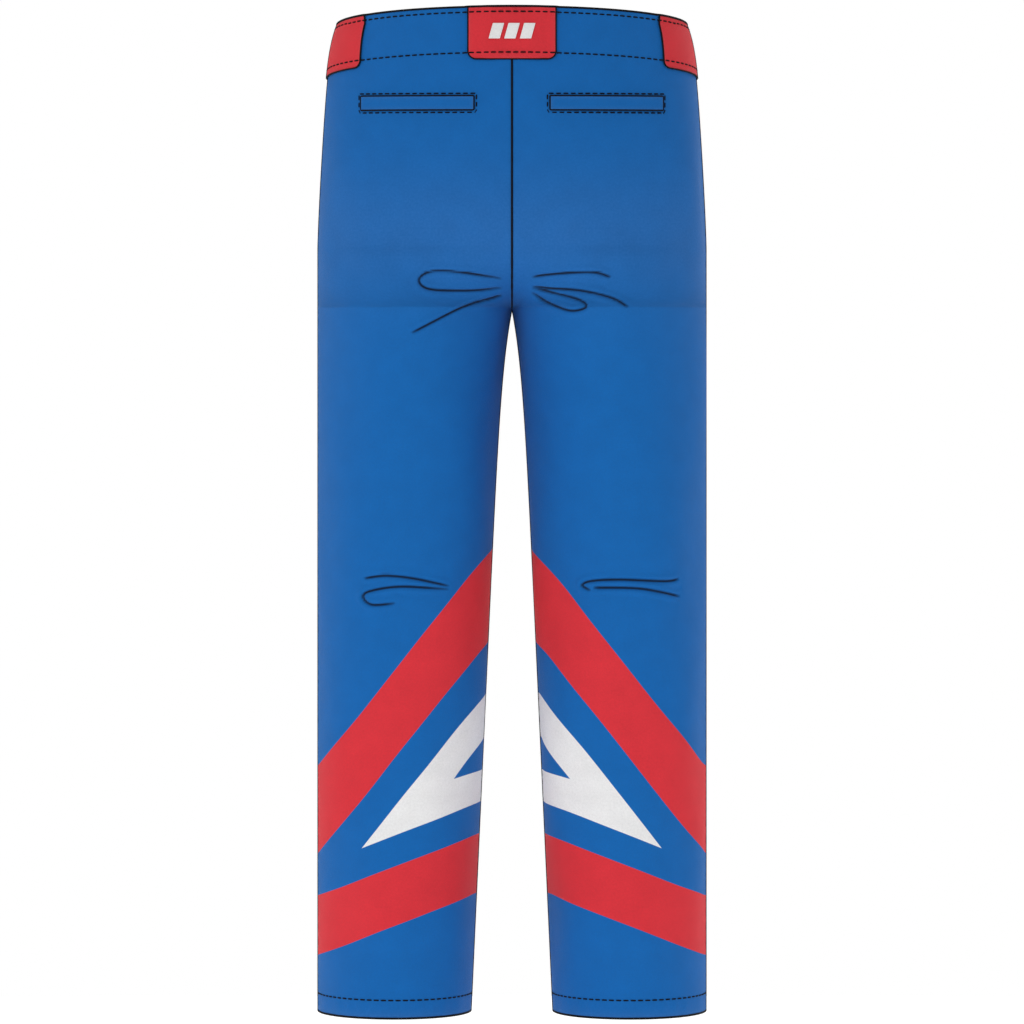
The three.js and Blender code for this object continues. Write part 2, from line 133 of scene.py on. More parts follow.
# %% Short ways to add nodes
# The dark colour is the dark thread's own colour and also the painted shade of the folds.
THREAD_AND_FOLD_SHADE_DARK = (0.0045, 0.005, 0.007)
BLUE = (0.003, 0.138, 0.47)
RED = (0.76, 0.034, 0.048)
WHITE = (0.92, 0.92, 0.92)


def add_node(tree, kind, inputs=(), out=0, **settings):
    made = tree.nodes.new(kind)
    for key, value in settings.items():
        setattr(made, key, value)
    for socket, value in dict(inputs).items():
        if isinstance(value, bpy.types.NodeSocket):
            tree.links.new(value, made.inputs[socket])
        else:
            made.inputs[socket].default_value = value
    return made.outputs[out]


def sum_of(tree, operation, a, b=0.0):
    return add_node(tree, "ShaderNodeMath", {0: a, 1: b}, operation=operation)


def mixed(tree, factor, a, b, blend_type="MIX"):
    settings = {"data_type": "RGBA", "blend_type": blend_type}
    full = [(*c[:3], 1) if isinstance(c, tuple) else c for c in (a, b)]
    return add_node(tree, "ShaderNodeMix", {0: factor, 6: full[0], 7: full[1]}, out=2, **settings)


def read(tree, name, out=1):
    return add_node(tree, "ShaderNodeAttribute", out=out, attribute_name=name)


def ranged(tree, value, low, high, **ends):
    """The value, from 0 to 1 unless ends say otherwise, moved to the range low to high."""
    sockets = {"Value": value, "To Min": low, "To Max": high, **ends}
    return add_node(tree, "ShaderNodeMapRange", sockets)


def noise(tree, place, scale, detail=2.0):
    sockets = {"Vector": place, "Scale": scale, "Detail": detail}
    return add_node(tree, "ShaderNodeTexNoise", sockets)


def bumped(tree, shader, height, strength, distance):
    sockets = {"Height": height, "Strength": strength, "Distance": distance}
    tree.links.new(add_node(tree, "ShaderNodeBump", sockets), shader.inputs["Normal"])


def new_finish(name):
    finish = bpy.data.materials.new(name)
    finish.use_nodes = True
    return finish, finish.node_tree, finish.node_tree.nodes["Principled BSDF"]


print("dark thread, shell blue, trim red", THREAD_AND_FOLD_SHADE_DARK, BLUE, RED)


# %% [markdown]
# ## The printed stripes
# The stripes are dyed into the cloth before it is cut, so they take no thickness.
# Each band is the strip between two straight lines on the laid-out leg. A line is
# tested with its distance, so that the edge stays crisp at any distance.

# %% Bands and chevron as tests of straight lines
def below_line(tree, place, start, end):
    """Distance in metres below the line from start to end, as a node output."""
    run, drop = end[0] - start[0], end[1] - start[1]
    length = math.hypot(run, drop)
    normal = (drop / length, -run / length, 0)
    along = add_node(
        tree, "ShaderNodeVectorMath", {0: place, 1: normal}, out=1, operation="DOT_PRODUCT"
    )
    return sum_of(tree, "SUBTRACT", along, normal[0] * start[0] + normal[1] * start[1])


def between(tree, place, upper, lower):
    """1 between two lines and 0 outside, with an edge 0.3 mm wide."""
    under = below_line(tree, place, *upper)
    over = sum_of(tree, "MULTIPLY", below_line(tree, place, *lower), -1.0)
    nearest = sum_of(tree, "MINIMUM", under, over)
    return ranged(tree, nearest, 0.0, 1.0, **{"From Min": -0.00015, "From Max": 0.00015})


UPPER_BAND = (((0.0212, -0.5724), (0.2056, -0.8035)), ((0.0265, -0.6710), (0.2056, -0.8962)))
LOWER_BAND = (((0.0365, -0.8745), (0.2056, -0.9402)), ((0.0392, -0.9377), (0.2056, -1.0033)))
CHEVRON = (((0.0297, -0.7261), (0.1590, -0.8893)), ((0.0350, -0.8406), (0.1590, -0.8893)))
NOTCH = (((0.0318, -0.7727), (0.0625, -0.8162)), ((0.0331, -0.8067), (0.0625, -0.8162)))


def printed(tree, ground):
    place = read(tree, "print")
    red = sum_of(
        tree, "MAXIMUM", between(tree, place, *UPPER_BAND), between(tree, place, *LOWER_BAND)
    )
    white = sum_of(
        tree, "SUBTRACT", between(tree, place, *CHEVRON), between(tree, place, *NOTCH)
    )
    white = add_node(tree, "ShaderNodeClamp", {"Value": white})
    return mixed(tree, white, mixed(tree, red, ground, RED), WHITE)


print("stripes at the side seam", UPPER_BAND[0][1], LOWER_BAND[0][1])


# %% [markdown]
# ## Cloth finishes
# One recipe makes every woven finish: the ribs are a bump with painted shade in
# their grooves, the dye is mottled at two sizes, and the cloth is paler where it
# has been rubbed and has painted shade along a fold.

# %% Woven cloth
WAVES_PER_RIB = 0.31


def woven(name, colour, rib=0.0009, slant=0.6, sheen=0.05, stripes=False, rough=0.78, gleam=0.2):
    finish, tree, shader = new_finish(name)
    threads = read(tree, "weave")
    ribs = add_node(
        tree, "ShaderNodeMapping",
        {"Vector": threads, "Rotation": (0, 0, slant), "Scale": (1 / rib, 1 / rib, 1)},
    )
    warp, weft = (
        add_node(
            tree, "ShaderNodeTexWave", {"Vector": ribs, "Scale": WAVES_PER_RIB}, out=1,
            bands_direction=way,
        )
        for way in "XY"
    )
    height = sum_of(tree, "ADD", warp, sum_of(tree, "MULTIPLY", weft, 0.5))
    fine = noise(tree, threads, 420.0, 3.0)
    ground = printed(tree, colour) if stripes else colour
    uneven = ranged(tree, noise(tree, threads, 38.0, 4.0), 0.91, 1.09)
    heather = ranged(tree, fine, 0.9, 1.1)
    # painted shade: the colour is darker where the ribs dip into their grooves
    groove_shade = ranged(tree, height, 0.86, 1.1, **{"From Max": 1.5})
    shade = sum_of(tree, "MULTIPLY", sum_of(tree, "MULTIPLY", uneven, heather), groove_shade)
    dyed = mixed(tree, 1.0, ground, shade, "MULTIPLY")
    rubbed = sum_of(tree, "MULTIPLY", read(tree, "wear", 2), fine)
    pale = mixed(tree, sum_of(tree, "MULTIPLY", rubbed, 0.3), dyed, (0.55, 0.6, 0.66))
    # painted shade: the colour is mixed towards near black along the folds that the mesh marks
    fold_shaded = mixed(tree, read(tree, "painted_crease_shade", 2), pale, THREAD_AND_FOLD_SHADE_DARK)
    tree.links.new(fold_shaded, shader.inputs["Base Color"])
    tree.links.new(ranged(tree, fine, rough - 0.07, rough + 0.1), shader.inputs["Roughness"])
    bumped(tree, shader, height, 0.6, rib * 0.35)
    shader.inputs["Sheen Weight"].default_value = sheen
    shader.inputs["Sheen Roughness"].default_value = 0.45
    shader.inputs["Specular IOR Level"].default_value = gleam
    return finish


shell_cloth = woven("shell_twill", BLUE, stripes=True)
plain_shell = woven("plain_shell_twill", BLUE)
trim_cloth = woven("red_trim_twill", RED, rib=0.001, sheen=0.06)
lining_cloth = woven("pocket_lining", (0.006, 0.06, 0.16), rib=0.0005, slant=0.0)
interlining_cloth = woven("interlining_felt", (0.83, 0.83, 0.8), rib=0.0011, slant=0.4, sheen=0.1)
label_satin = woven("label_satin", (0.88, 0.87, 0.83), rib=0.0004, slant=0.0, rough=0.5)
tape_cloth = woven("zip_tape_weave", (0.0048, 0.028, 0.078), rib=0.0012, slant=math.pi / 4)
motif_thread = woven("white_embroidery", (0.9, 0.9, 0.9), rib=0.0009, slant=0.25, rough=0.55)
dark_thread = woven("dark_thread", THREAD_AND_FOLD_SHADE_DARK, rib=0.0008, slant=0.7, sheen=0.02, gleam=0.12)
print("cloth finishes", shell_cloth.name, trim_cloth.name, lining_cloth.name, tape_cloth.name)


# %% [markdown]
# ## Metal finishes
# The zip and the snap are cast and plated. Plating is smooth, with fine scuffs and
# a tint that is slightly uneven from place to place.

# %% Plated metal
def plated(name, colour, rough):
    finish, tree, shader = new_finish(name)
    place = add_node(tree, "ShaderNodeTexCoord", out=3)
    scuffs = noise(tree, place, 900.0, 6.0)
    tint = ranged(tree, noise(tree, place, 160.0), 0.82, 1.1)
    tree.links.new(mixed(tree, 1.0, colour, tint, "MULTIPLY"), shader.inputs["Base Color"])
    tree.links.new(ranged(tree, scuffs, rough - 0.1, rough + 0.16), shader.inputs["Roughness"])
    bumped(tree, shader, scuffs, 0.2, 0.00004)
    shader.inputs["Metallic"].default_value = 1.0
    return finish


zip_metal = plated("zip_gunmetal", (0.27, 0.28, 0.3), 0.36)
snap_metal = plated("snap_nickel", (0.62, 0.62, 0.6), 0.26)
print("metal finishes", zip_metal.name, snap_metal.name)

# %% [markdown]
# ## The pattern surface
# Every panel lies on one surface, measured in metres from the middle of the waist.
# `t` walks round one half of the pants: 0 at the centre back, 0.5 at the side seam
# and 1 at the centre front, and below the crotch once round the leg. The sizes are
# the garment's own, so that each sheet falls where the frame has its solid.

# %% Sizes of the garment
BACK_RISE, INSEAM = 0.318, 0.744
WAIST_WIDTH, HIP_WIDTH, HEM_WIDTH = 0.367, 0.411, 0.162
HIP_LINE, FRONT_DROP, HEM_DIP = 0.256, 0.035, 0.0075
WAIST_BACK, WAIST_FRONT, HIP_BACK, HIP_FRONT = 0.106, 0.104, 0.124, 0.120
HEM_DEPTH, THIGH_BACK, THIGH_FRONT, THIGH_EASE = 0.087, 0.112, 0.108, 2.2
HIP_FULLNESS, SEAT_SWELL, SWELL_LENGTH, SEAM_REACH = 0.68, 0.05, 0.2, 0.17
HELD_POWER, LEAST_OPENED, TAPER_START = 1.6, 0.06, 0.04
CROTCH_FLARE, FLARE_LENGTH, WAIST_NIP = 0.0094, 0.06, 0.35
FLY_LENGTH, FLY_OPENING, UNDER_FLY = 0.156, 0.011, 0.02
CURVE_TOP = FRONT_DROP + FLY_LENGTH + UNDER_FLY
CROTCH_HEIGHT = BACK_RISE - CURVE_TOP
OUTER_X = HIP_WIDTH / 2
HEM_INNER_X = OUTER_X - HEM_WIDTH
HEM_Z = -(BACK_RISE + INSEAM)
SPLIT, KNEE_END = -0.49, -0.742
FLY_TILT = math.atan((HIP_FRONT - WAIST_FRONT) / (CURVE_TOP - FRONT_DROP))
WAIST_STITCH_DROPS, HEM_STITCH_RISE, HEM_TURN_UP = (0.006, 0.049), 0.0195, 0.019
CLOTH = 0.0012
print("crotch curve from", -CURVE_TOP, "to", -BACK_RISE)


# %% The surface as functions of height
def smooth(value, low, high):
    share = np.clip((value - low) / (high - low), 0, 1)
    return share * share * (3 - 2 * share)


def side_x(z):
    down = np.clip((-z - FRONT_DROP / 2) / (HIP_LINE - FRONT_DROP / 2), 0, 1)
    nip = WAIST_NIP * (1 - down) ** 10 + (1 - WAIST_NIP) * (1 - down) ** 1.3
    return OUTER_X - (HIP_WIDTH - WAIST_WIDTH) / 2 * nip


def inner_x(z):
    down = np.maximum(0, -z - BACK_RISE)
    slope = (HEM_INNER_X - CROTCH_FLARE) / INSEAM
    return slope * down + CROTCH_FLARE * (1 - np.exp(-down / FLARE_LENGTH))


def trunk_depth(behind, z):
    front = WAIST_FRONT + (HIP_FRONT - WAIST_FRONT) * np.minimum(
        1, (-z - FRONT_DROP) / (CURVE_TOP - FRONT_DROP)
    )
    rise = np.clip(-z / CURVE_TOP, 0, 1)
    back = WAIST_BACK + (HIP_BACK - WAIST_BACK) * (1 - (1 - rise) ** 2)
    return np.where(behind, back, front)


def leg_depth(behind, z):
    top = np.where(behind, THIGH_BACK, THIGH_FRONT)
    below = np.clip(-z - BACK_RISE, 0, INSEAM)
    down = (below - TAPER_START * (1 - np.exp(-below / TAPER_START))) / (INSEAM - TAPER_START)
    return HEM_DEPTH + (top - HEM_DEPTH) * (1 - np.minimum(1, down)) ** THIGH_EASE


def swell(z):
    down = np.clip((-z - CURVE_TOP) / SWELL_LENGTH, 0, 1)
    return 1 + SEAT_SWELL * np.sin(np.pi * down) ** 2


def crotch_share(z, inset):
    into = (-z - CURVE_TOP) / (CROTCH_HEIGHT - inset)
    return np.where(into <= 0, 1, np.sqrt(np.maximum(0, 1 - into * into)))


print("widths at waist, hip", 2 * side_x(0.0), 2 * side_x(-HIP_LINE))


# %% The surface itself
def skin(side, t, z, inset=0.0):
    """Points of the left (side -1) or right (side 1) half, inset in metres."""
    t, z = np.broadcast_arrays(np.asarray(t, float), np.asarray(z, float))
    behind = t < 0.5
    from_seam = np.where(behind, t, 1 - t)
    trunk = trunk_depth(behind, z) - inset
    leg = leg_depth(behind, z) - inset
    share = crotch_share(z, inset)
    seam_y = np.where(z > -BACK_RISE + inset, trunk * share, 0)
    opened = np.arcsin(np.minimum(1, seam_y / leg))
    held = (1 - 2 * from_seam) ** (HELD_POWER / np.maximum(opened, LEAST_OPENED))
    turn = 2 * np.pi * from_seam + opened * held
    half = (side_x(z) - inner_x(z)) / 2 - inset
    centre = (side_x(z) + inner_x(z)) / 2
    mix = 1 - smooth(-z, CURVE_TOP, BACK_RISE)
    full = 1 + (HIP_FULLNESS - 1) * smooth(-z, 0, CURVE_TOP)
    leg_x, leg_y = -centre + half * np.cos(turn), leg * np.sin(turn)
    trunk_x = -(side_x(z) - inset) * np.sin(np.pi * from_seam)
    trunk_y = trunk * np.maximum(0, np.cos(np.pi * from_seam)) ** full
    x = leg_x + (trunk_x - leg_x) * mix
    y = leg_y + (trunk_y - leg_y) * mix
    drawn = np.where(seam_y > 0, 1 - smooth(from_seam, 0, SEAM_REACH), 0)
    end_x = (-centre + half * np.cos(opened)) * (1 - mix)
    end_y = leg * np.sin(opened) + (trunk - leg * np.sin(opened)) * mix
    x = x + (-inset * (1 - share) - end_x) * drawn
    y = y + (seam_y - end_y) * drawn
    return np.stack([-side * x, np.where(behind, -y, y) * swell(z), z], -1)


def top_edge(t):
    return -FRONT_DROP * (1 - np.cos(np.pi * t)) / 2


def crotch_curve(count):
    """Heights along the rounded crotch seam, from its top to its lowest point."""
    return -CURVE_TOP - CROTCH_HEIGHT * np.sin(np.linspace(0, np.pi / 2, count))


def hem_edge(t):
    return HEM_Z - HEM_DIP * np.sin(2 * np.pi * t)


def t_at(x, z):
    """Where a point at this distance from the centre line lies, above the crotch."""
    return np.arcsin(np.clip(np.abs(x) / side_x(z), 0, 1)) / np.pi


print("side seam at the hem", skin(-1, 0.5, HEM_Z).round(4))

# %% [markdown]
# ## Sheets of cloth
# A sheet is a grid of points on the middle of the cloth, given a thickness on both
# sides. Where a sheet is sewn to its neighbour its edge is cut square. A free edge
# is turned, so it gets thinner over its last millimetre and looks rolled.

# %% Grid helpers
SIDES = {"left": -1, "right": 1}


def spaced(length, step, end=True):
    """Places from 0 to 1 along a length, with a few close to the start and the end."""
    near = np.array([0.0, 0.0002, 0.0005, 0.0009])
    count = max(2, round(length / step))
    middle = np.linspace(near[-1], length - (near[-1] if end else 0), count + 1)
    last = length - near[:-1][::-1] if end else []
    return np.concatenate([near[:-1], middle, last]) / length


def unit(vectors):
    return vectors / np.maximum(np.linalg.norm(vectors, axis=-1, keepdims=True), 1e-12)


def run_lengths(points, axis):
    """Distance walked along the rows (axis 1) or columns (axis 0) of a grid."""
    steps = np.linalg.norm(np.diff(points, axis=axis), axis=-1)
    pad = [(0, 0), (0, 0)]
    pad[axis] = (1, 0)
    return np.pad(np.cumsum(steps, axis=axis), pad)


def grid_normals(points, outward):
    """Unit normals of a grid, turned to the side that outward points to."""
    across = np.gradient(points, axis=1)
    down = np.gradient(points, axis=0)
    normals = unit(np.cross(across, down))
    return normals * np.sign(np.sum(normals * outward))


def put_attribute(mesh, name, values):
    kind = "FLOAT_VECTOR" if values.ndim == 2 else "FLOAT"
    layer = mesh.attributes.new(name, kind, "POINT")
    key = "vector" if kind == "FLOAT_VECTOR" else "value"
    layer.data.foreach_set(key, values.astype(np.float32).ravel())


def mark_sharp(mesh, faces):
    """Marks the edges of these quads sharp, so that a square rim stays square."""
    pairs = np.stack([faces, np.roll(faces, -1, axis=1)], -1).reshape(-1, 2)
    edges = np.zeros(len(mesh.edges) * 2, int)
    mesh.edges.foreach_get("vertices", edges)
    edges = edges.reshape(-1, 2)
    count = len(mesh.vertices)
    keys = edges.min(1) * count + edges.max(1)
    sharp = np.isin(keys, pairs.min(1) * count + pairs.max(1))
    layer = mesh.attributes.new("sharp_edge", "BOOLEAN", "EDGE")
    layer.data.foreach_set("value", sharp)


def linked(name, mesh):
    piece = bpy.data.objects.new(name, mesh)
    bpy.context.collection.objects.link(piece)
    return piece


def new_piece(name, points, faces, finish, attributes):
    mesh = bpy.data.meshes.new(name)
    mesh.from_pydata(points.tolist(), [], faces)
    mesh.shade_smooth()
    for key, values in attributes.items():
        put_attribute(mesh, key, values)
    mesh.materials.append(finish)
    mesh.update()
    piece = linked(name, mesh)
    return piece


print("a 10 mm edge is split at", (spaced(0.01, 0.003) * 10).round(2).tolist())


# %% A sheet from a grid
def slab_faces(rows, columns, ring):
    """Quads of both layers and the rims, and which of them are rims."""
    index = np.arange(rows * columns).reshape(rows, columns)
    if ring:
        index = np.concatenate([index, index[:, :1]], axis=1)
    under = index + rows * columns
    a, b, c, d = index[:-1, :-1], index[:-1, 1:], index[1:, 1:], index[1:, :-1]
    outer = np.stack([a, b, c, d], -1).reshape(-1, 4)
    inner = (outer + rows * columns)[:, ::-1]
    rims = []
    for top, low in ((index[0], under[0]), (index[-1][::-1], under[-1][::-1])):
        rims.append(np.stack([top[:-1], low[:-1], low[1:], top[1:]], -1))
    if not ring:
        for top, low in ((index[::-1, 0], under[::-1, 0]), (index[:, -1], under[:, -1])):
            rims.append(np.stack([top[:-1], low[:-1], low[1:], top[1:]], -1))
    rims = np.concatenate(rims)
    faces = np.concatenate([outer, inner, rims])
    return faces, np.arange(len(faces)) >= 2 * len(outer)


def sheet_piece(
    name, middle, outward, thick, finish, relief=0.0, rolled="", ring=False,
    attributes=(), ghosts=(0, 0),
):
    """A closed sheet round the grid `middle`. `rolled` names its free edges:
    t top, b bottom, s start, e end of each row. Ghost rows only help the normals."""
    normals = grid_normals(middle, outward)
    first, last = ghosts[0], middle.shape[0] - ghosts[1]
    across, down = run_lengths(middle, 1), run_lengths(middle, 0)
    half = np.full(middle.shape[:2], thick / 2)
    gaps = {"s": across, "e": across[:, -1:] - across, "t": down, "b": down[-1:] - down}
    for edge in rolled:
        reach = np.clip(gaps[edge] / 0.0009, 0, 1)
        half = half * np.sqrt(np.clip(1 - (1 - reach) ** 2, 0.03, 1))
    lifted = middle + normals * (np.zeros(half.shape) + relief)[..., None]
    keep = slice(first, last)
    outer = (lifted + normals * half[..., None])[keep]
    inner = (lifted - normals * half[..., None])[keep]
    rows, columns = outer.shape[:2]
    points = np.concatenate([outer.reshape(-1, 3), inner.reshape(-1, 3)])
    faces, rims = slab_faces(rows, columns, ring)
    weave = np.stack([across, down, np.zeros_like(down)], -1)[keep]
    worn = np.zeros(half.shape)
    for edge in rolled:
        worn = np.maximum(worn, 0.4 * np.exp(-gaps[edge] / 0.0016))
    layers = {"weave": weave, "wear": worn[keep], "painted_crease_shade": np.zeros((rows, columns))}
    layers.update({k: v[keep] for k, v in dict(attributes).items()})
    both = {}
    for key, values in layers.items():
        outer_layer = values.reshape(rows * columns, -1)
        inner_layer = outer_layer * (key != "print")
        both[key] = np.concatenate([outer_layer, inner_layer]).squeeze()
    if signed_volume(points, faces) < 0:
        faces = faces[:, ::-1]
    piece = new_piece(name, points, faces.tolist(), finish, both)
    if not rolled:
        mark_sharp(piece.data, faces[rims])
    base = middle[keep]
    wide, long = run_lengths(base, 1)[:, -1].max(), run_lengths(base, 0)[-1].max()
    if ring:
        wide += np.linalg.norm(base[:, 0] - base[:, -1], axis=-1).max()
    piece["flat"] = [float(wide), float(long)]
    piece["cut_area"] = float(min(grid_area(base, ring), wide * long))
    return piece


def grid_area(points, ring):
    if ring:
        points = np.concatenate([points, points[:, :1]], axis=1)
    one, two = points[1:, 1:] - points[:-1, :-1], points[1:, :-1] - points[:-1, 1:]
    return np.linalg.norm(np.cross(one, two), axis=-1).sum() / 2


def signed_volume(points, faces):
    a, b, c, d = (points[faces[:, i]] for i in range(4))
    return np.sum(a * np.cross(b, c)) + np.sum(a * np.cross(c, d))


def fit(piece, body, node, **how):
    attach(piece, body)
    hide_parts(node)


print("a slab of 3 by 3 points has", len(slab_faces(3, 3, False)[0]), "faces")

# %% [markdown]
# ## Folds of the outer cloth
# Worn cloth is never flat. Short sharp folds run out from the crotch and behind
# the knees, long soft ones hang down the legs, and every row of stitching pulls
# the cloth into small puckers. Each is a height above the pattern surface, so
# they add up and stay small enough for the shape to keep its outline. A cloth
# simulation would move the straight side seams, so the heights are worked out.

# %% Where the sharp folds run, as distance from the centre line and height
FOLDS = {
    ("left", "back"): [
        [(0.0106, -0.2878), (0.053, -0.281), (0.084, -0.28), (0.098, -0.2885),
         (0.088, -0.2985), (0.05, -0.3005), (0.0106, -0.2975)],
        [(0.0106, -0.3053), (0.05, -0.3175), (0.106, -0.345)],
        [(0.1558, -0.604), (0.134, -0.6015), (0.103, -0.6045), (0.0655, -0.6122)],
        [(0.0657, -0.6157), (0.118, -0.613), (0.15, -0.6175), (0.157, -0.624),
         (0.148, -0.632), (0.124, -0.6305)],
    ],
    ("right", "back"): [
        [(0.0212, -0.2868), (0.05, -0.2825), (0.085, -0.281), (0.1039, -0.2862)],
        [(0.0212, -0.2968), (0.07, -0.3), (0.105, -0.308), (0.1219, -0.3175)],
        [(0.0212, -0.3022), (0.04, -0.3135), (0.062, -0.3215), (0.0779, -0.318),
         (0.072, -0.3105), (0.045, -0.3025), (0.0212, -0.2975)],
        [(0.176, -0.6045), (0.162, -0.607), (0.114, -0.6055), (0.083, -0.607),
         (0.073, -0.6115), (0.082, -0.617)],
        [(0.085, -0.614), (0.136, -0.615), (0.177, -0.623)],
    ],
    ("left", "front"): [
        [(0.014, -0.258), (0.06, -0.2525), (0.108, -0.262)],
        [(0.016, -0.283), (0.06, -0.295), (0.116, -0.327)],
        [(0.152, -0.603), (0.11, -0.5995), (0.066, -0.607)],
        [(0.07, -0.621), (0.11, -0.626), (0.15, -0.618)],
    ],
    ("right", "front"): [
        [(0.014, -0.263), (0.056, -0.2605), (0.1, -0.273)],
        [(0.014, -0.289), (0.066, -0.304), (0.122, -0.334)],
        [(0.068, -0.605), (0.112, -0.6015), (0.148, -0.6085)],
        [(0.066, -0.62), (0.104, -0.6225), (0.146, -0.6145)],
    ],
}


def curve_through(corners, steps=14):
    """A smooth line through the given places."""
    p = np.array([corners[0], *corners, corners[-1]], float)
    out = []
    for i in range(1, len(p) - 2):
        for s in np.arange(steps) / steps:
            a = 2 * p[i] + (p[i + 1] - p[i - 1]) * s
            b = (2 * p[i - 1] - 5 * p[i] + 4 * p[i + 1] - p[i + 2]) * s * s
            c = (3 * p[i] - p[i - 1] - 3 * p[i + 1] + p[i + 2]) * s ** 3
            out.append((a + b + c) / 2)
    return np.array([*out, p[-1]])


print("sharp folds", {" ".join(k): len(v) for k, v in FOLDS.items()})


# %% Distance to a fold
def near_fold(x, z, corners):
    """Distance to the fold in metres, 1 if none is near, and how deep it is there."""
    line = curve_through(corners)
    reach = 0.03
    low, high = line.min(0) - reach, line.max(0) + reach
    close = (x > low[0]) & (x < high[0]) & (z > low[1]) & (z < high[1])
    distance, depth = np.ones(x.shape), np.zeros(x.shape)
    if not close.any():
        return distance, depth
    spots = np.stack([x[close], z[close]], -1)[:, None]
    start, run = line[None, :-1], np.diff(line, axis=0)[None]
    share = np.clip(((spots - start) * run).sum(-1) / (run ** 2).sum(-1), 0, 1)
    gap = np.linalg.norm(spots - start - share[..., None] * run, axis=-1)
    nearest = gap.argmin(1)
    along = (nearest + share[np.arange(len(nearest)), nearest]) / (len(line) - 1)
    distance[close] = gap.min(1)
    depth[close] = np.clip(np.minimum(along, 1 - along) / 0.1, 0, 1) ** 0.5
    return distance, depth


# %% Heights of the cloth above the pattern surface
drape_random = np.random.default_rng(11)
DRAPE = {
    side: [
        (n, drape_random.uniform(0, 2 * np.pi), drape_random.uniform(5, 13), 0.00095 / n ** 0.35)
        for n in (1, 2, 3, 4, 6)
    ]
    for side in SIDES
}


def drape(side, t, z):
    height = np.zeros(np.broadcast(t, z).shape)
    for waves, start, rise, size in DRAPE[side]:
        height += size * np.cos(2 * np.pi * waves * t + start + rise * z)
        height += 0.5 * size * np.cos(2 * np.pi * (waves + 1) * t - start - 2.7 * rise * z)
    return height


def cloth_heights(side, place, t, z, x, seam_gap):
    """Height of the cloth in metres and the painted shade along its folds."""
    free = 1 - np.exp(-(seam_gap / 0.016) ** 2)
    calm = smooth(-z, 0.075, 0.21) * (1 - smooth(-z, 0.98, 1.04))
    if place == "front":
        calm = calm * np.maximum(smooth(x, 0.024, 0.05), smooth(-z, 0.2, 0.26))
    height = drape(side, t, z) * free * calm
    pucker = np.sin(2 * np.pi * z / 0.012 + 3 * np.sin(z * 61)) * np.exp(-seam_gap / 0.006)
    height += 0.00022 * pucker * smooth(-z, 0.06, 0.08)
    height -= 0.0005 * np.exp(-(seam_gap / 0.0016) ** 2)
    fold_shade = np.zeros_like(height)
    for corners in FOLDS[(side, place)]:
        gap, depth = near_fold(x, z, corners)
        height -= depth * 0.0017 * np.exp(-(gap / 0.0013) ** 2)
        height += depth * 0.0012 * np.exp(-((gap - 0.0042) / 0.0028) ** 2)
        height -= depth * 0.0009 * np.exp(-(gap / 0.014) ** 2)
        # painted shade: the colour is darkened in a thin line along each sharp fold, more strongly
        # on the back panels
        fold_shade_strength = 0.94 if place == "back" else 0.6
        fold_shade = np.maximum(fold_shade, fold_shade_strength * depth * np.exp(-((gap / 0.00125) ** 4)))
    for drop in WAIST_STITCH_DROPS:
        at = top_edge(t) - z - drop
        height -= 0.00025 * np.exp(-(at / 0.0018) ** 2)
    at = z - hem_edge(t) - HEM_STITCH_RISE
    height -= 0.0004 * np.exp(-(at / 0.0018) ** 2)
    ripple = np.sin(t * 2 * np.pi * 26 + 2 * np.sin(t * 37)) * np.exp(-((at + 0.009) / 0.008) ** 2)
    height += 0.0003 * ripple * free
    return height, fold_shade


print("drape waves", {k: len(v) for k, v in DRAPE.items()})

# %% [markdown]
# ## The outer panels
# A leg's upper and lower panels share the row of points at mid thigh. Their rows
# lie close together where a sharp fold runs, and along the rounded crotch seam.

# %% Rows and columns of a panel
FOLD_ZONES = {
    "back": ((-0.278, -0.349), (-0.598, -0.637)),
    "front": ((-0.247, -0.339), (-0.596, -0.63)),
}


def panel_rows(place, top, bottom, coarse=0.0038, fine=0.00092):
    rows = [top]
    while rows[-1] > bottom:
        dense = any(high > rows[-1] > low for high, low in FOLD_ZONES[place])
        rows.append(rows[-1] - (fine if dense else coarse))
    rows[-1] = bottom
    if top > -CURVE_TOP:
        rows = np.concatenate([rows, crotch_curve(42)])
    kept = [top]
    for row in np.sort(rows)[::-1]:
        if kept[-1] - row > 0.0004:
            kept.append(row)
    kept[-1] = bottom
    return np.array(kept)


def panel_grid(side, place, rows, columns, inset):
    """Places t and z of a panel and its points, edges followed at waist and hem."""
    z = rows[:, None] + np.zeros((1, len(columns)))
    start = np.zeros_like(z)
    if place == "front":
        foot = -(FRONT_DROP + FLY_LENGTH * math.cos(FLY_TILT))
        opening = FLY_OPENING / 2 * np.sqrt(np.clip((z - foot) / 0.005, 0, 1))
        start = t_at(opening, z)
    away = start + (0.5 - start) * columns
    t = away if place == "back" else 1 - away
    z = z + top_edge(t) * (1 - smooth(-z, 0, 0.13))
    z = z + (hem_edge(t) - HEM_Z) * smooth(-z, 0.95, -HEM_Z)
    return t, z, skin(SIDES[side], t, z, inset)


print("rows of an upper panel", len(panel_rows("back", 0, SPLIT)))


def follow_leg(piece, part):
    """Bakes the placement of cloth or cords of a leg into its points, the same for upper and
    lower.
    """
    if part == "upper":
        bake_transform(piece)
    else:
        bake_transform(piece)


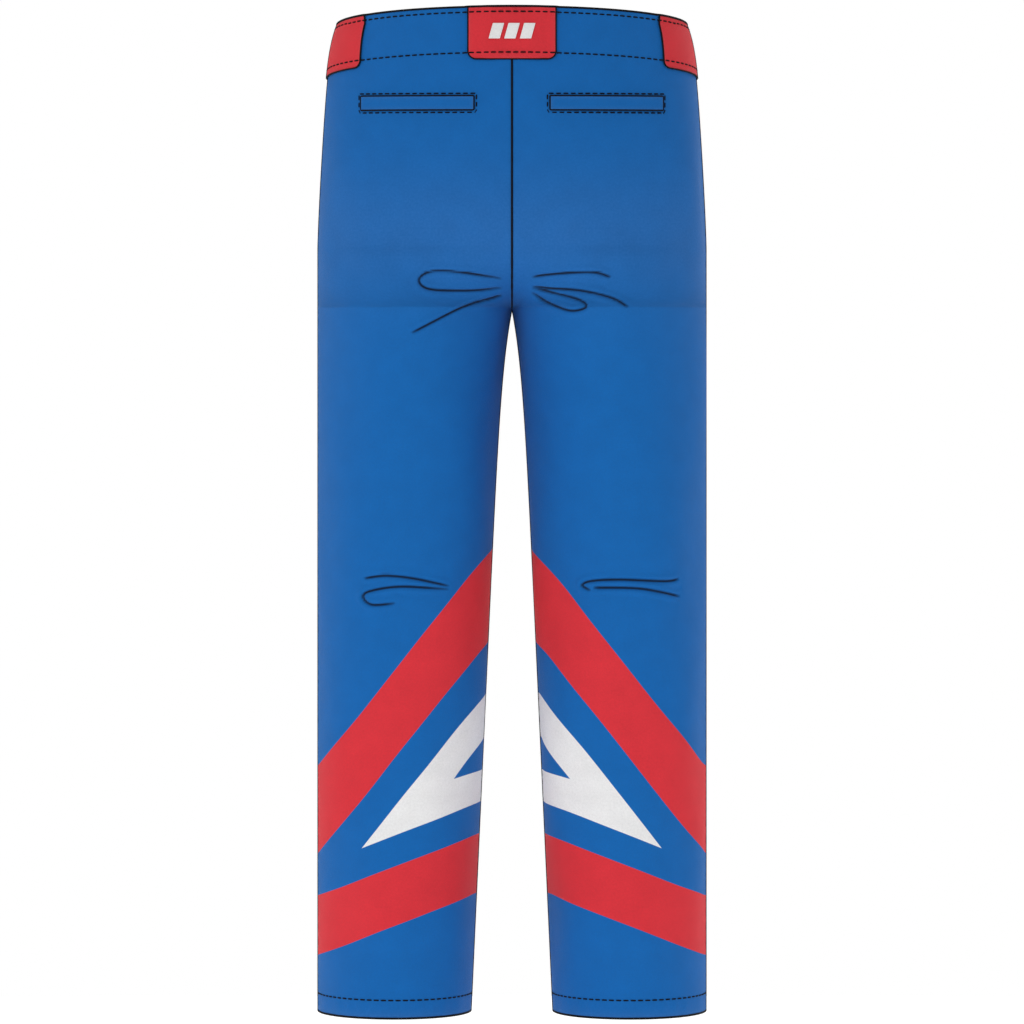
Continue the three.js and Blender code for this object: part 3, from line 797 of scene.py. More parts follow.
def outer_panel(side, place, part):
    upper = part == "upper"
    if upper:
        rows = np.append(panel_rows(place, 0.0, SPLIT), SPLIT - 0.003)
    else:
        rows = np.insert(panel_rows(place, SPLIT, HEM_Z), 0, SPLIT + 0.003)
    columns = spaced(0.25, 0.0017)
    t, z, middle = panel_grid(side, place, rows, columns, CLOTH / 2)
    across = run_lengths(middle, 1)
    edge_gap = np.minimum(across, across[:, -1:] - across)
    away = np.abs(middle[..., 0])
    height, fold_shade = cloth_heights(side, place, t, z, away, edge_gap)
    knee = np.exp(-((z + 0.6) / 0.06) ** 2) if place == "front" else 0 * z
    seat = np.exp(-((z + 0.24) / 0.07) ** 2) if place == "back" else 0 * z
    wear = 0.16 * np.maximum(knee, seat) + 0.35 * np.exp(-(z - hem_edge(t)) / 0.004)
    piece = sheet_piece(
        f"{side}_{place}_{part}", middle, middle - [SIDES[side] * 0.1, 0, 0],
        CLOTH, shell_cloth, relief=height,
        attributes={
            "print": np.stack([away, z, 0 * z], -1), "painted_crease_shade": fold_shade, "wear": wear,
            "weave": np.stack([across, z, 0 * z], -1),
        },
        ghosts=(0, 1) if upper else (1, 0),
    )
    follow_leg(piece, part)
    parts = ("seat", "hip_fold", "thigh") if upper else ("knee_fold", "shin")
    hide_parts(*[f"{side}_{node}_{place}" for node in parts])
    return 2 * len(piece.data.polygons)


triangles = [
    outer_panel(side, place, part)
    for side in SIDES for place in ("back", "front") for part in ("upper", "lower")
]
print("outer panels", len(triangles), "triangles", sum(triangles))

# %% [markdown]
# ## Waistband and hems, inside
# The band is faced with the shell's own cloth over a layer of felt that keeps it
# firm, and each hem is turned up 19 mm. They're sheets on the same surface, set in
# by the cloth in front of them.

# %% A sheet between two places and two insets
def inset_sheet(name, side, t_ends, edges, insets, finish, rolled=""):
    """edges are heights as functions of t, insets the outer and inner face in metres."""
    outside, inside = insets
    columns = t_ends[0] + (t_ends[1] - t_ends[0]) * spaced(0.25, 0.004)
    rows = spaced(0.06, 0.0035)[:, None]
    high, low = edges[0](columns), edges[1](columns)
    z = high + (low - high) * rows
    middle = skin(SIDES[side], columns + 0 * z, z, (outside + inside) / 2)
    return sheet_piece(
        name, middle, middle - [SIDES[side] * 0.05, 0, 0], inside - outside, finish,
        rolled=rolled,
    )


def below_top(drop):
    return lambda t: top_edge(t) - drop


def at_height(z):
    return lambda t: z + 0 * t


band_end = 1 - float(t_at(0.024, -FRONT_DROP))
for side in SIDES:
    felt = inset_sheet(
        f"{side}_band_felt", side, (0.0005, band_end), (below_top(0.0005), below_top(0.052)),
        (0.0027, 0.0037), interlining_cloth,
    )
    fit(felt, "root", f"{side}_waist_interlining")
    lined = inset_sheet(
        f"{side}_band_facing", side, (0.0005, band_end), (below_top(0.0003), below_top(0.052)),
        (0.004, 0.0055), plain_shell, rolled="be",
    )
    fit(lined, "root", f"{side}_waist_facing")


# %% Turned-up hems
def hem_ring(side):
    t = np.linspace(0, 1, 141)[:-1]
    rise = spaced(HEM_TURN_UP, 0.0024)[:, None] * HEM_TURN_UP
    z = hem_edge(t) + HEM_TURN_UP - rise
    middle = skin(SIDES[side], t + 0 * z, z, 0.00345)
    centre = middle.mean(axis=(0, 1))
    ring = sheet_piece(
        f"{side}_hem_turn_up", middle, (middle - centre) * [1, 1, 0], 0.0015, plain_shell,
        rolled="t", ring=True,
        relief=0.0002 * np.sin(2 * np.pi * 31 * t + 40 * z),
    )
    fit(ring, f"{side}_shin", f"{side}_hem_facing")


for side in SIDES:
    hem_ring(side)
print("band ends", round(band_end, 4), "from the centre back round to the front")

# %% [markdown]
# ## Back pockets and the care label
# A welt, a folded strip of cloth, covers each pocket slit. Behind the slit hangs a
# bag of two layers of lining, a little fuller in the middle than at its seams.

# %% Welts, pocket bags and label
WELT_LOW, WELT_HIGH = -0.1099, -0.0949
POCKET = (0.040, 0.159)
BAG_TOP, BAG_DROP = -0.089, 0.118
pocket_t = tuple(float(t_at(x, -0.1024)) for x in POCKET)
for side in SIDES:
    welt = inset_sheet(
        f"{side}_welt", side, pocket_t, (at_height(WELT_HIGH), at_height(WELT_LOW)),
        (-0.0019, -0.0002), plain_shell, rolled="tbse",
    )
    fit(welt, "root", f"{side}_pocket_welt")

    across = spaced(0.12, 0.003)
    down = spaced(BAG_DROP, 0.003)[:, None]
    columns = pocket_t[0] + (pocket_t[1] - pocket_t[0]) * across
    rows = BAG_TOP - BAG_DROP * down
    middle = skin(SIDES[side], columns + 0 * rows, rows, 0.0045)
    rim = np.minimum(np.minimum(across, 1 - across) * 0.119, (1 - down) * BAG_DROP)
    sewn = -0.0003 * np.exp(-((rim - 0.008) / 0.0012) ** 2)
    slack = 0.0004 * np.sin(across * 9.5 + down * 4) * np.sin(np.pi * down)
    bag = sheet_piece(
        f"{side}_pocket_lining_bag", middle, middle * [0, 1, 0], 0.0018, lining_cloth,
        relief=sewn + slack, rolled="tbse",
    )
    fit(bag, "root", f"{side}_pocket_bag", held="hung", rests_on=[f"{side}_back_upper"])

label_t = tuple(float(t_at(x, -0.052)) for x in (0.006, 0.034))
label = inset_sheet(
    "blank_care_label", "left", label_t, (at_height(-0.040), at_height(-0.088)),
    (0.00625, 0.00685), label_satin, rolled="bse",
)
fit(label, "root", "care_label", held="hung", rests_on=["left_band_facing"])
print("pockets from", POCKET[0], "to", POCKET[1], "m off the centre")

# %% [markdown]
# ## Red tabs
# Three red tabs are laid over the waistband, one in the middle and one round each
# side, with their lower corners rounded. Rows of points follow the rounded corners.

# %% Tabs
TAB_DROP, TAB_THICK, TAB_LIFT, TAB_RISE = 0.0565, 0.0016, 0.0011, 0.0006
BACK_TAB_HALF, BACK_TAB_RADIUS = 0.0465, 0.0085
SIDE_TAB, SIDE_TAB_RADIUS, SIDE_TAB_SPREAD = (0.321, 0.679), 0.007, 0.012
QUARTER_ROUND = 0.42


def corner_cut(drop, height, radius):
    """How far a side edge steps in at this drop, for a rounded lower corner."""
    into = np.clip(drop - (height - radius), 0, radius)
    return radius - np.sqrt(np.maximum(radius ** 2 - into ** 2, 0))


def tab_drops(radius):
    upper = spaced(TAB_DROP - radius, 0.003, end=False) * (TAB_DROP - radius)
    lower = TAB_DROP - radius * (1 - np.sin(np.linspace(0, np.pi / 2, 11)[1:]))
    return np.concatenate([upper, lower])[:, None]


def tab_relief(gap, amount=0.0003):
    return -amount * np.exp(-(gap / 0.0022) ** 2)


def back_tab_surface(x, drop, inset):
    z = -drop + TAB_RISE
    t = t_at(x, z)
    z = z + top_edge(t) * (1 - drop / TAB_DROP)
    curved = skin(-1, t, z, inset)[..., 1]
    flat = -trunk_depth(True, z) - 0.0013 - inset * 0.5
    flat_share = 1 - smooth(np.abs(x), 0.023, 0.037)
    return np.stack([x, curved + (flat - curved) * flat_share, z], -1)


def back_tab_half(drops):
    return BACK_TAB_HALF - corner_cut(drops, TAB_DROP, BACK_TAB_RADIUS)


def side_tab_ends(drops):
    """Both edges of a side tab, which spreads downwards and has rounded corners."""
    inward = corner_cut(drops, TAB_DROP, SIDE_TAB_RADIUS) / QUARTER_ROUND
    spread = SIDE_TAB_SPREAD * drops / TAB_DROP
    return SIDE_TAB[0] - spread + inward, SIDE_TAB[1] + spread - inward


def tab_piece(name, middle, outward, rim):
    return sheet_piece(
        name, middle, middle * outward, TAB_THICK, trim_cloth,
        relief=tab_relief(rim), rolled="tbse",
    )


drops = tab_drops(BACK_TAB_RADIUS)
half_width = back_tab_half(drops)
x = half_width * (2 * spaced(2 * BACK_TAB_HALF, 0.0022) - 1)
middle = back_tab_surface(x, drops + 0 * x, -TAB_LIFT)
rim = np.minimum(np.abs(half_width - np.abs(x)), TAB_DROP - drops)
fit(
    tab_piece("back_tab", middle, [0, 1, 0], rim), "root", "center_back_tab",
    held="laid", rests_on=["left_back_upper", "right_back_upper"],
)


drops = tab_drops(SIDE_TAB_RADIUS)
low, high = side_tab_ends(drops)
t = low + (high - low) * spaced(0.15, 0.0022)
rim = np.minimum(np.minimum(t - low, high - t) * QUARTER_ROUND, TAB_DROP - drops)
for side in SIDES:
    middle = skin(SIDES[side], t, top_edge(t) - drops + TAB_RISE, -TAB_LIFT)
    fit(
        tab_piece(f"{side}_tab", middle, [1, 1, 0], rim), "root", f"{side}_side_tab",
        held="laid", rests_on=[f"{side}_back_upper", f"{side}_front_upper"],
    )
print("tabs", TAB_DROP, "m deep")

# %% [markdown]
# ## The fly
# The fly slopes a little outwards as it goes down, so its flat pieces are made on a
# plane that stands at the top of the centre front: x across, y outwards and z up.

# %% Pieces on the plane of the fly
def from_fly(points):
    x, y, z = np.moveaxis(np.asarray(points, float), -1, 0)
    lean, stand = math.sin(FLY_TILT), math.cos(FLY_TILT)
    return np.stack(
        [x, WAIST_FRONT + y * stand - z * lean, -FRONT_DROP + y * lean + z * stand], -1
    )


def fly_sheet(name, x_ends, y_ends, z_ends, finish, ripple=0.0):
    x = x_ends[0] + (x_ends[1] - x_ends[0]) * spaced(x_ends[1] - x_ends[0], 0.002)
    z = z_ends[1] + (z_ends[0] - z_ends[1]) * spaced(z_ends[1] - z_ends[0], 0.003)[:, None]
    x, z = x + 0 * z, z + 0 * x
    y = (y_ends[0] + y_ends[1]) / 2 + 0 * x
    middle = from_fly(np.stack([x, y, z], -1))
    height = ripple * np.sin(z * 210 + x * 60) * np.cos(x * 90)
    return sheet_piece(
        name, middle, middle * 0 + [0, 1, 0], y_ends[1] - y_ends[0], finish,
        relief=height, rolled="tbse",
    )


for side, sign in SIDES.items():
    zip_x = sorted((sign * 0.0033, sign * 0.017))
    tape = fly_sheet(
        f"{side}_tape", zip_x, (-0.004, -0.0032), (-0.16, -0.0368), tape_cloth
    )
    fit(tape, "root", f"{side}_zip_tape")
    fold_x = sorted((sign * 0.0118, sign * 0.0222))
    turned = fly_sheet(
        f"{side}_fly_turning", fold_x, (-0.0072, -0.0043), (-0.16, -0.004), plain_shell,
    )
    fit(turned, "root", f"{side}_fly_facing")
shield = fly_sheet(
    "fly_underlay", (-0.022, 0.022), (-0.0091, -0.0075), (-0.164, -0.004), plain_shell,
    ripple=0.0001,
)
fit(shield, "root", "fly_shield")
print("fly leans", round(math.degrees(FLY_TILT), 2), "degrees")

# %% [markdown]
# ## Waist closure
# A red flap crosses the top of the fly and is held by a press snap. Its sewn end
# lies on the right front, and the flap swings out from there.

# %% Flap and its sewn end
FLAP_BACK, FLAP_TOP, FLAP_TIP, HINGE_X = 0.0023, -0.004, -0.026, 0.024
FLAP_LENGTH, FLAP_HEIGHT, FLAP_RADIUS = 0.0497, 0.028, 0.006
rows = spaced(FLAP_HEIGHT, 0.0016)[:, None]
x = FLAP_TIP + FLAP_LENGTH * spaced(FLAP_LENGTH, 0.0016) + 0 * rows
round_off = corner_cut(FLAP_TIP - x + FLAP_HEIGHT, FLAP_HEIGHT, FLAP_RADIUS)
z = FLAP_TOP - round_off + (2 * round_off - FLAP_HEIGHT) * rows
middle = from_fly(np.stack([x, np.full(x.shape, FLAP_BACK + TAB_THICK / 2), z], -1))
rim = np.minimum(np.minimum(rows, 1 - rows) * FLAP_HEIGHT, x - FLAP_TIP)
flap = sheet_piece(
    "red_flap", middle, middle * 0 + [0, 1, 0], TAB_THICK, trim_cloth,
    relief=tab_relief(rim, 0.0002), rolled="tbse",
)
fit(flap, "closure_flap", "closure_flap", held="laid", rests_on=["right_front_upper"])

base_t = tuple(1 - float(t_at(x, -FRONT_DROP)) for x in (0.044, HINGE_X + 0.0003))
flap_end = inset_sheet(
    "flap_sewn_end", "right", base_t, (at_height(-0.039), at_height(-0.067)),
    (-0.0019, -0.0003), trim_cloth, rolled="tbse",
)
fit(flap_end, "root", "closure_base", held="laid", rests_on=["right_front_upper"])
print("flap reaches", FLAP_TIP - HINGE_X)

# %% [markdown]
# ## Seam lines
# Dark corded thread runs along every seam and edge. A line of it is a flattened
# tube that follows points on the surface, half sunk into the cloth. The tube's
# own attribute gives the twist of the cord.

# %% Points on the surface, and a tube along them
def surface_line(side, t, z, lift=0.0):
    """Points and outward normals of the surface at the given places."""
    t, z = np.broadcast_arrays(np.asarray(t, float), np.asarray(z, float))
    here = skin(SIDES[side], t, z, 0.0)
    step = 1e-4
    inside = np.clip(t, step, 1 - step)
    round_it = skin(SIDES[side], inside + step, z) - skin(SIDES[side], inside - step, z)
    down_it = skin(SIDES[side], t, z + step) - skin(SIDES[side], t, z - step)
    normal = unit(np.cross(round_it, down_it) * SIDES[side])
    return here + normal * np.asarray(lift)[..., None], normal


def walk(points):
    """Distance walked along a line, at each of its points."""
    return np.concatenate([[0], np.cumsum(np.linalg.norm(np.diff(points, axis=0), axis=1))])


def at_distance(at, walked, values):
    return np.stack([np.interp(at, walked, values[:, i]) for i in range(3)], -1)


def even(points, normals, step):
    """The same line with points at even steps."""
    walked = walk(points)
    at = np.linspace(0, walked[-1], max(2, round(walked[-1] / step) + 1))
    return at_distance(at, walked, points), unit(at_distance(at, walked, normals))


def frame_along(points, normals, closed=False):
    """Directions across and up from a line."""
    if closed:
        along = np.roll(points, -1, axis=0) - np.roll(points, 1, axis=0)
    else:
        along = np.gradient(points, axis=0)
    along = unit(along)
    across = unit(np.cross(normals, along))
    return across, np.cross(along, across)


def corded(points, normals, half_wide, half_high, sides=8, closed=False):
    """Points, faces and thread distances of a tube along the line."""
    across, up = frame_along(points, normals, closed)
    angle = np.linspace(0, 2 * np.pi, sides, endpoint=False)
    ring = (
        points[:, None] + across[:, None] * (np.cos(angle) * half_wide)[None, :, None]
        + up[:, None] * (np.sin(angle) * half_high)[None, :, None]
    )
    walked = walk(points)[:, None]
    weave = np.stack([walked + 0 * angle, 0 * walked + angle * half_wide, 0 * ring[..., 0]], -1)
    count = len(points)
    index = np.arange(count * sides).reshape(count, sides)
    if closed:
        index = np.concatenate([index, index[:1]])
    turn = np.roll(index, -1, axis=1)
    faces = np.stack([index[:-1], turn[:-1], turn[1:], index[1:]], -1).reshape(-1, 4).tolist()
    if not closed:
        faces += [index[0][::-1].tolist(), index[-1].tolist()]
    return ring.reshape(-1, 3), faces, weave.reshape(-1, 3)


def thread_layers(weave):
    """Attributes of a piece that is not rubbed and has no painted fold shade."""
    return {"weave": weave, "wear": np.zeros(len(weave)), "painted_crease_shade": np.zeros(len(weave))}


def gather(name, parts, body=None, finish=dark_thread):
    """One piece from several (points, faces, weave) parts, on its body if one is given."""
    faces, start = [], 0
    for place, quads, _ in parts:
        faces += [[start + i for i in face] for face in quads]
        start += len(place)
    points, weave = (np.concatenate([part[i] for part in parts]) for i in (0, 2))
    piece = new_piece(name, points, faces, finish, thread_layers(weave))
    fix_normals(piece.data)
    if body:
        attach(piece, body)
    return piece


def fix_normals(mesh):
    cleaned = bmesh.new()
    cleaned.from_mesh(mesh)
    bmesh.ops.recalc_face_normals(cleaned, faces=cleaned.faces)
    cleaned.to_mesh(mesh)
    cleaned.free()
    mesh.update()


CORD_HALF, CORD_HIGH, SUNK = 0.00115, 0.0009, 0.0001


def seam_cord(points, normals, half=CORD_HALF, closed=False, step=0.003):
    if not closed:
        points, normals = even(points, normals, step)
    return corded(points, normals, half, CORD_HIGH, closed=closed)


print("cord", CORD_HALF * 2000, "mm wide")


# %% Seams of the legs
def leg_seams(side, part):
    """Side seam and inseam of one upper or lower leg."""
    high, low = (0.0, SPLIT) if part == "upper" else (SPLIT, -1.0615)
    z = np.linspace(high, low, 200)
    z_side = z + top_edge(0.5) * (1 - smooth(-z, 0, 0.13))
    lines = [surface_line(side, 0.5, z_side, -SUNK)]
    inner = z[z < -BACK_RISE - 0.0002]
    if part == "upper":
        inner = np.concatenate([[-BACK_RISE - 0.0003], inner])
    points = skin(SIDES[side], 0.0, inner)
    normals = np.tile([-SIDES[side], 0.0, 0.0], (len(points), 1))
    lines.append((points - normals * SUNK, normals))
    return [seam_cord(*line) for line in lines]


for side in SIDES:
    for part in ("upper", "lower"):
        cords = gather(f"{side}_seams_{part}", leg_seams(side, part))
        follow_leg(cords, part)


# %% The centre seam, from the back waist through the crotch to the fly
def centre_seam():
    bow = crotch_curve(40)
    fall = np.linspace(-TAB_DROP + 0.002, -CURVE_TOP, 60)
    rise = np.linspace(-CURVE_TOP, -FRONT_DROP - FLY_LENGTH + 0.001, 8)
    rear = skin(-1, 0.0, np.concatenate([fall, bow[1:]]))
    fore = skin(-1, 1.0, np.concatenate([bow[-2::-1], rise[1:]]))
    points = np.concatenate([rear, fore])
    normals = unit(np.cross(np.gradient(points, axis=0), [1.0, 0, 0]))
    normals *= -np.sign(normals[0, 1])
    return points - normals * SUNK, normals


seam = gather("centre_seam", [seam_cord(*centre_seam())], "root")
print("centre seam", len(seam.data.vertices), "points")

# %% [markdown]
# ## Edges of the waist, hems, tabs and welts
# The waist edge is the shell rolled over to the facing, and each hem is rolled the
# same way. A dark line marks the edges, as overlocking thread does.

# %% Rolled edges and their lines
def over_tabs(s, z):
    """How far out the waist's edge lies here: on a tab or on the shell."""
    s = np.abs(s)
    centre_half = t_at(BACK_TAB_HALF, z)
    on_centre = 1 - smooth(s, centre_half, centre_half + 0.006)
    spread = SIDE_TAB_SPREAD * (top_edge(s) - z) / TAB_DROP
    low, high = SIDE_TAB[0] - spread, SIDE_TAB[1] + spread
    on_side = smooth(s, low - 0.005, low) * (1 - smooth(s, high, high + 0.005))
    flat = 0.0006 * (1 - smooth(s, t_at(0.023, z), t_at(0.037, z)))
    return 0.0019 * np.maximum(on_centre, on_side) + flat


def waist_line(drop, lift=0.0, reach=None, raised=True):
    """Points and normals round the waist, from the left end of the fly to the right."""
    reach = reach or 1 - float(t_at(0.0062, -FRONT_DROP))
    s = np.linspace(-reach, reach, 420)
    t = np.abs(s)
    z = top_edge(t) - drop
    lifts = lift + (over_tabs(s, z) if raised else 0)
    left, left_out = surface_line("left", t, z, lifts)
    flip = np.where(s[:, None] > 0, [-1.0, 1.0, 1.0], [1.0, 1.0, 1.0])
    return left * flip, left_out * flip


waist = even(*waist_line(0.0, lift=-0.0028, raised=False), 0.003)
gather("waist_roll", [corded(*waist, 0.0009, 0.0027, sides=14)], "root", plain_shell)
gather("waist_edge_line", [seam_cord(*waist_line(0.0003, lift=0.0002))], "root")

t = np.linspace(0, 1, 161)[:-1]
for side in SIDES:
    hem = surface_line(side, t, hem_edge(t) + 0.0003, -0.0021)
    roll = corded(*hem, 0.0008, 0.0021, sides=12, closed=True)
    gather(f"{side}_hem_roll", [roll], f"{side}_shin", plain_shell)
    line = seam_cord(*surface_line(side, t, hem_edge(t) + 0.0004), closed=True)
    gather(f"{side}_hem_edge_line", [line], f"{side}_shin")
print("rolled edges made")


# %% Lines round the tabs and welts
BORDER_LIFT = 0.0014


def round_line(points, normals):
    return seam_cord(points, normals, half=0.00085, step=0.0016)


def round_tab(drops, one, other):
    """Down one edge of a tab, along its foot and up the other, with the drop there."""
    foot = np.linspace(one[-1], other[-1], 30)[1:-1]
    drop = np.concatenate([drops, np.full(len(foot), TAB_DROP), drops[::-1]])
    return np.concatenate([one, foot, other[::-1]]), drop


def tab_border(side):
    drops = tab_drops(SIDE_TAB_RADIUS)[:, 0]
    t, drop = round_tab(drops, *side_tab_ends(drops))
    return surface_line(side, t, top_edge(t) - drop, BORDER_LIFT)


def back_tab_border():
    drops = tab_drops(BACK_TAB_RADIUS)[:, 0]
    half = back_tab_half(drops)
    x, drop = round_tab(drops, -half, half)
    points = back_tab_surface(x[:, None], drop[:, None], -BORDER_LIFT)[:, 0]
    return points, np.tile([0.0, -1.0, 0.0], (len(points), 1))


def welt_border(side, spread=0.0, lift=BORDER_LIFT):
    """Round a welt, spread outwards by this much."""
    low, high = WELT_LOW - spread, WELT_HIGH + spread
    near, far = POCKET[0] - spread, POCKET[1] + spread
    corners = [(near, high), (far, high), (far, low), (near, low), (near, high)]
    edges = [np.linspace(a, b, n) for a, b, n in zip(corners, corners[1:], (60, 12, 60, 12))]
    x, z = np.concatenate(edges).T
    return surface_line(side, t_at(x, z), z, lift)


borders = [round_line(*back_tab_border())]
for side in SIDES:
    borders += [round_line(*tab_border(side)), round_line(*welt_border(side))]
    drop = np.linspace(0.001, TAB_DROP + 0.001, 30)
    borders.append(round_line(*surface_line(side, 0.5, top_edge(0.5) - drop, 0.0016)))
gather("tab_and_welt_lines", borders, "root")
print("tab and welt lines", len(borders))

# %% [markdown]
# ## Stitches
# A lockstitch shows as short dashes of thread with a small gap where the thread
# dives into the cloth. One dash is shaped with operators, then copied along each
# row, bent to follow it.

# %% One dash of thread
bpy.ops.mesh.primitive_cylinder_add(vertices=6, radius=0.5, depth=1, rotation=(0, math.pi / 2, 0))
dash = bpy.context.object
bpy.ops.object.transform_apply(location=False, rotation=True, scale=False)
bpy.ops.object.mode_set(mode="EDIT")
for cut in (0.34, -0.34):
    bpy.ops.mesh.select_all(action="SELECT")
    bpy.ops.mesh.bisect(plane_co=(cut, 0, 0), plane_no=(1, 0, 0))
bpy.ops.mesh.select_all(action="DESELECT")
bpy.ops.object.mode_set(mode="OBJECT")
for vertex in dash.data.vertices:
    vertex.select = abs(vertex.co.x) > 0.45
bpy.ops.object.mode_set(mode="EDIT")
bpy.ops.transform.resize(value=(1, 0.5, 0.5), center_override=(0, 0, 0))
bpy.ops.transform.translate(value=(0, 0, -0.35))
bpy.ops.object.mode_set(mode="OBJECT")
dash_points = np.array([v.co for v in dash.data.vertices])
dash_faces = [list(face.vertices) for face in dash.data.polygons]
bpy.data.objects.remove(dash)
print("one dash has", len(dash_faces), "faces")


# %% Rows of dashes
DASH, DASH_GAP, DASH_WIDE, DASH_HIGH = 0.0058, 0.002, 0.0016, 0.0012


def stitch_row(points, normals, closed=False, gap=DASH_GAP):
    """Dashes along a line, as one (points, faces, weave) part."""
    if closed:
        points, normals = (np.concatenate([line, line[:1]]) for line in (points, normals))
    points, normals = even(points, normals, 0.0008)
    walked = walk(points)
    across, up = frame_along(points, normals)
    count = round(walked[-1] / (DASH + gap))
    along, beside, above = dash_points.T * [[DASH], [DASH_WIDE], [DASH_HIGH]]
    out, faces, weave = [], [], []
    for i in range(count):
        at = np.clip((i + 0.5) * walked[-1] / count + along, 0, walked[-1])
        spot, sideways, upward = (at_distance(at, walked, v) for v in (points, across, up))
        out.append(spot + sideways * beside[:, None] + upward * above[:, None])
        faces += [[len(dash_points) * i + k for k in face] for face in dash_faces]
        weave.append(np.stack([at, beside, 0 * at], -1))
    return np.concatenate(out), faces, np.concatenate(weave)


rows = [stitch_row(*waist_line(drop, lift=0.0002)) for drop in WAIST_STITCH_DROPS]
for drop in WAIST_STITCH_DROPS:
    inside, outward = waist_line(drop, lift=-0.0056, raised=False, reach=band_end - 0.002)
    rows.append(stitch_row(inside, -outward, gap=0.0024))
rows += [stitch_row(*welt_border(side, 0.0026, 0.0001), closed=True) for side in SIDES]
gather("waist_and_pocket_stitches", rows, "root")
t = np.linspace(0, 1, 401)
for side in SIDES:
    row = stitch_row(*surface_line(side, t, hem_edge(t) + HEM_STITCH_RISE, 0.0001))
    gather(f"{side}_hem_stitches", [row], f"{side}_shin")
print("stitch rows made")

# %% Stitches of the fly and the flap
def fly_line(corners, y):
    """A line through corners (x, z) on the plane of the fly, y in front of it."""
    flat = np.array([(x, y, z) for x, z in corners], float)
    points = from_fly(flat)
    return points, unit(from_fly(flat + [0, 0.001, 0]) - points)


def on_front(side, x, z, lift=0.0002):
    return surface_line(side, 1 - t_at(x, z), z, lift)


J_FOOT, J_START, J_WIDE = -0.172, 0.004, 0.03
bend = np.linspace(0, np.pi / 2, 16)[1:]
j_x = J_START + J_WIDE * np.concatenate([np.ones(40), np.cos(bend)])
j_z = np.concatenate([np.linspace(-0.0915, J_FOOT, 40), J_FOOT - 0.024 * np.sin(bend)])
fly_rows = []
for side in SIDES:
    edge_z = np.linspace(-0.094, -0.18, 40)
    fly_rows.append(stitch_row(*on_front(side, np.full(40, 0.0095), edge_z)))
fly_rows.append(stitch_row(*on_front("left", j_x, j_z)))
fly_rows.append(stitch_row(*on_front("left", j_x + 0.005, j_z - 0.004 * (j_z < J_FOOT))))
bar_x = np.linspace(-0.0045, 0.0045, 12)
bar = fly_line([(x, -FLY_LENGTH - 0.004) for x in bar_x], 0.0004)
fly_rows.append(corded(*even(*bar, 0.0008), 0.0011, 0.0008))
gather("fly_stitches", fly_rows, "root")

flap_loop = [(0.0215, -0.0065), (-0.0195, -0.0065), (-0.0225, -0.0105), (-0.0235, -0.012),
             (-0.0235, -0.024), (-0.0225, -0.0255), (-0.0195, -0.0295), (0.0215, -0.0295)]
row = stitch_row(*fly_line(flap_loop, FLAP_BACK + TAB_THICK))
gather("flap_stitches", [row], "closure_flap")
base_x = np.array([0.0275, 0.0415, 0.0415, 0.0275, 0.0275])
base_z = np.array([-0.0415, -0.0415, -0.0645, -0.0645, -0.0415])
gather("flap_end_stitches", [stitch_row(*on_front("right", base_x, base_z, 0.002))], "root")
print("fly rows", len(fly_rows))

# %% [markdown]
# ## A plain motif on the back tab
# The middle of the back tab carries a small embroidered motif. It is three slanted
# bars of white satin stitch and says nothing. A bar is a rounded block, sheared to
# one side, with the thread across it.

# %% Embroidered bars
bpy.ops.object.select_all(action="DESELECT")
BAR_PITCH, BAR_WIDE, BAR_HIGH, BAR_LEAN, BAR_Z = 0.0165, 0.012, 0.0165, 0.28, -0.0262
bars = []
for place in (-BAR_PITCH, 0.0, BAR_PITCH):
    bpy.ops.mesh.primitive_cube_add(size=1)
    bar = bpy.context.object
    bpy.ops.object.mode_set(mode="EDIT")
    bpy.ops.transform.resize(value=(BAR_WIDE, 0.0012, BAR_HIGH))
    bpy.ops.mesh.bevel(offset=0.0005, segments=3, affect="EDGES")
    bpy.ops.object.mode_set(mode="OBJECT")
    for vertex in bar.data.vertices:
        x, y, z = vertex.co
        depth = trunk_depth(True, z + BAR_Z).item() + 0.0026
        vertex.co = (x + BAR_LEAN * z + place, y - depth, z + BAR_Z)
    bars.append(bar)
for bar in bars:
    bar.select_set(True)
bpy.context.view_layer.objects.active = bars[0]
bpy.ops.object.join()
motif = bpy.context.object
motif.name = "tab_motif"
motif.data.materials.clear()
motif.data.materials.append(motif_thread)
bpy.ops.object.shade_smooth_by_angle(angle=math.radians(50))
spots = np.array([v.co for v in motif.data.vertices])
for key, values in thread_layers(spots[:, [0, 2, 1]]).items():
    put_attribute(motif.data, key, values)
motif.select_set(False)
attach(motif, "root")
print("motif", len(spots), "points")

# %% [markdown]
# ## Zip and pull
# The zip's rows of teeth, its stops, slider and pull have the right shape in the
# frame but crisp corners, where cast metal has small round ones. A copy of each is
# merged, its flat triangles are joined, and its edges are bevelled.

# %% Cast parts with round edges
def picked(name, mesh):
    """A new object of this mesh, alone selected and active."""
    bpy.ops.object.select_all(action="DESELECT")
    piece = linked(name, mesh)
    piece.select_set(True)
    bpy.context.view_layer.objects.active = piece
    return piece


def merge_points():
    bpy.ops.object.mode_set(mode="EDIT")
    bpy.ops.mesh.select_all(action="SELECT")
    bpy.ops.mesh.remove_doubles(threshold=1e-6)


def settle(piece, body, node, finish, smooth_to):
    """Gives a hard piece its finish, its body and the node it stands for."""
    piece.data.materials.clear()
    piece.data.materials.append(finish)
    bpy.ops.object.shade_smooth_by_angle(angle=math.radians(smooth_to))
    piece.select_set(False)
    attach(piece, body)
    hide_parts(node)
    print(piece.name, "faces", len(piece.data.polygons))


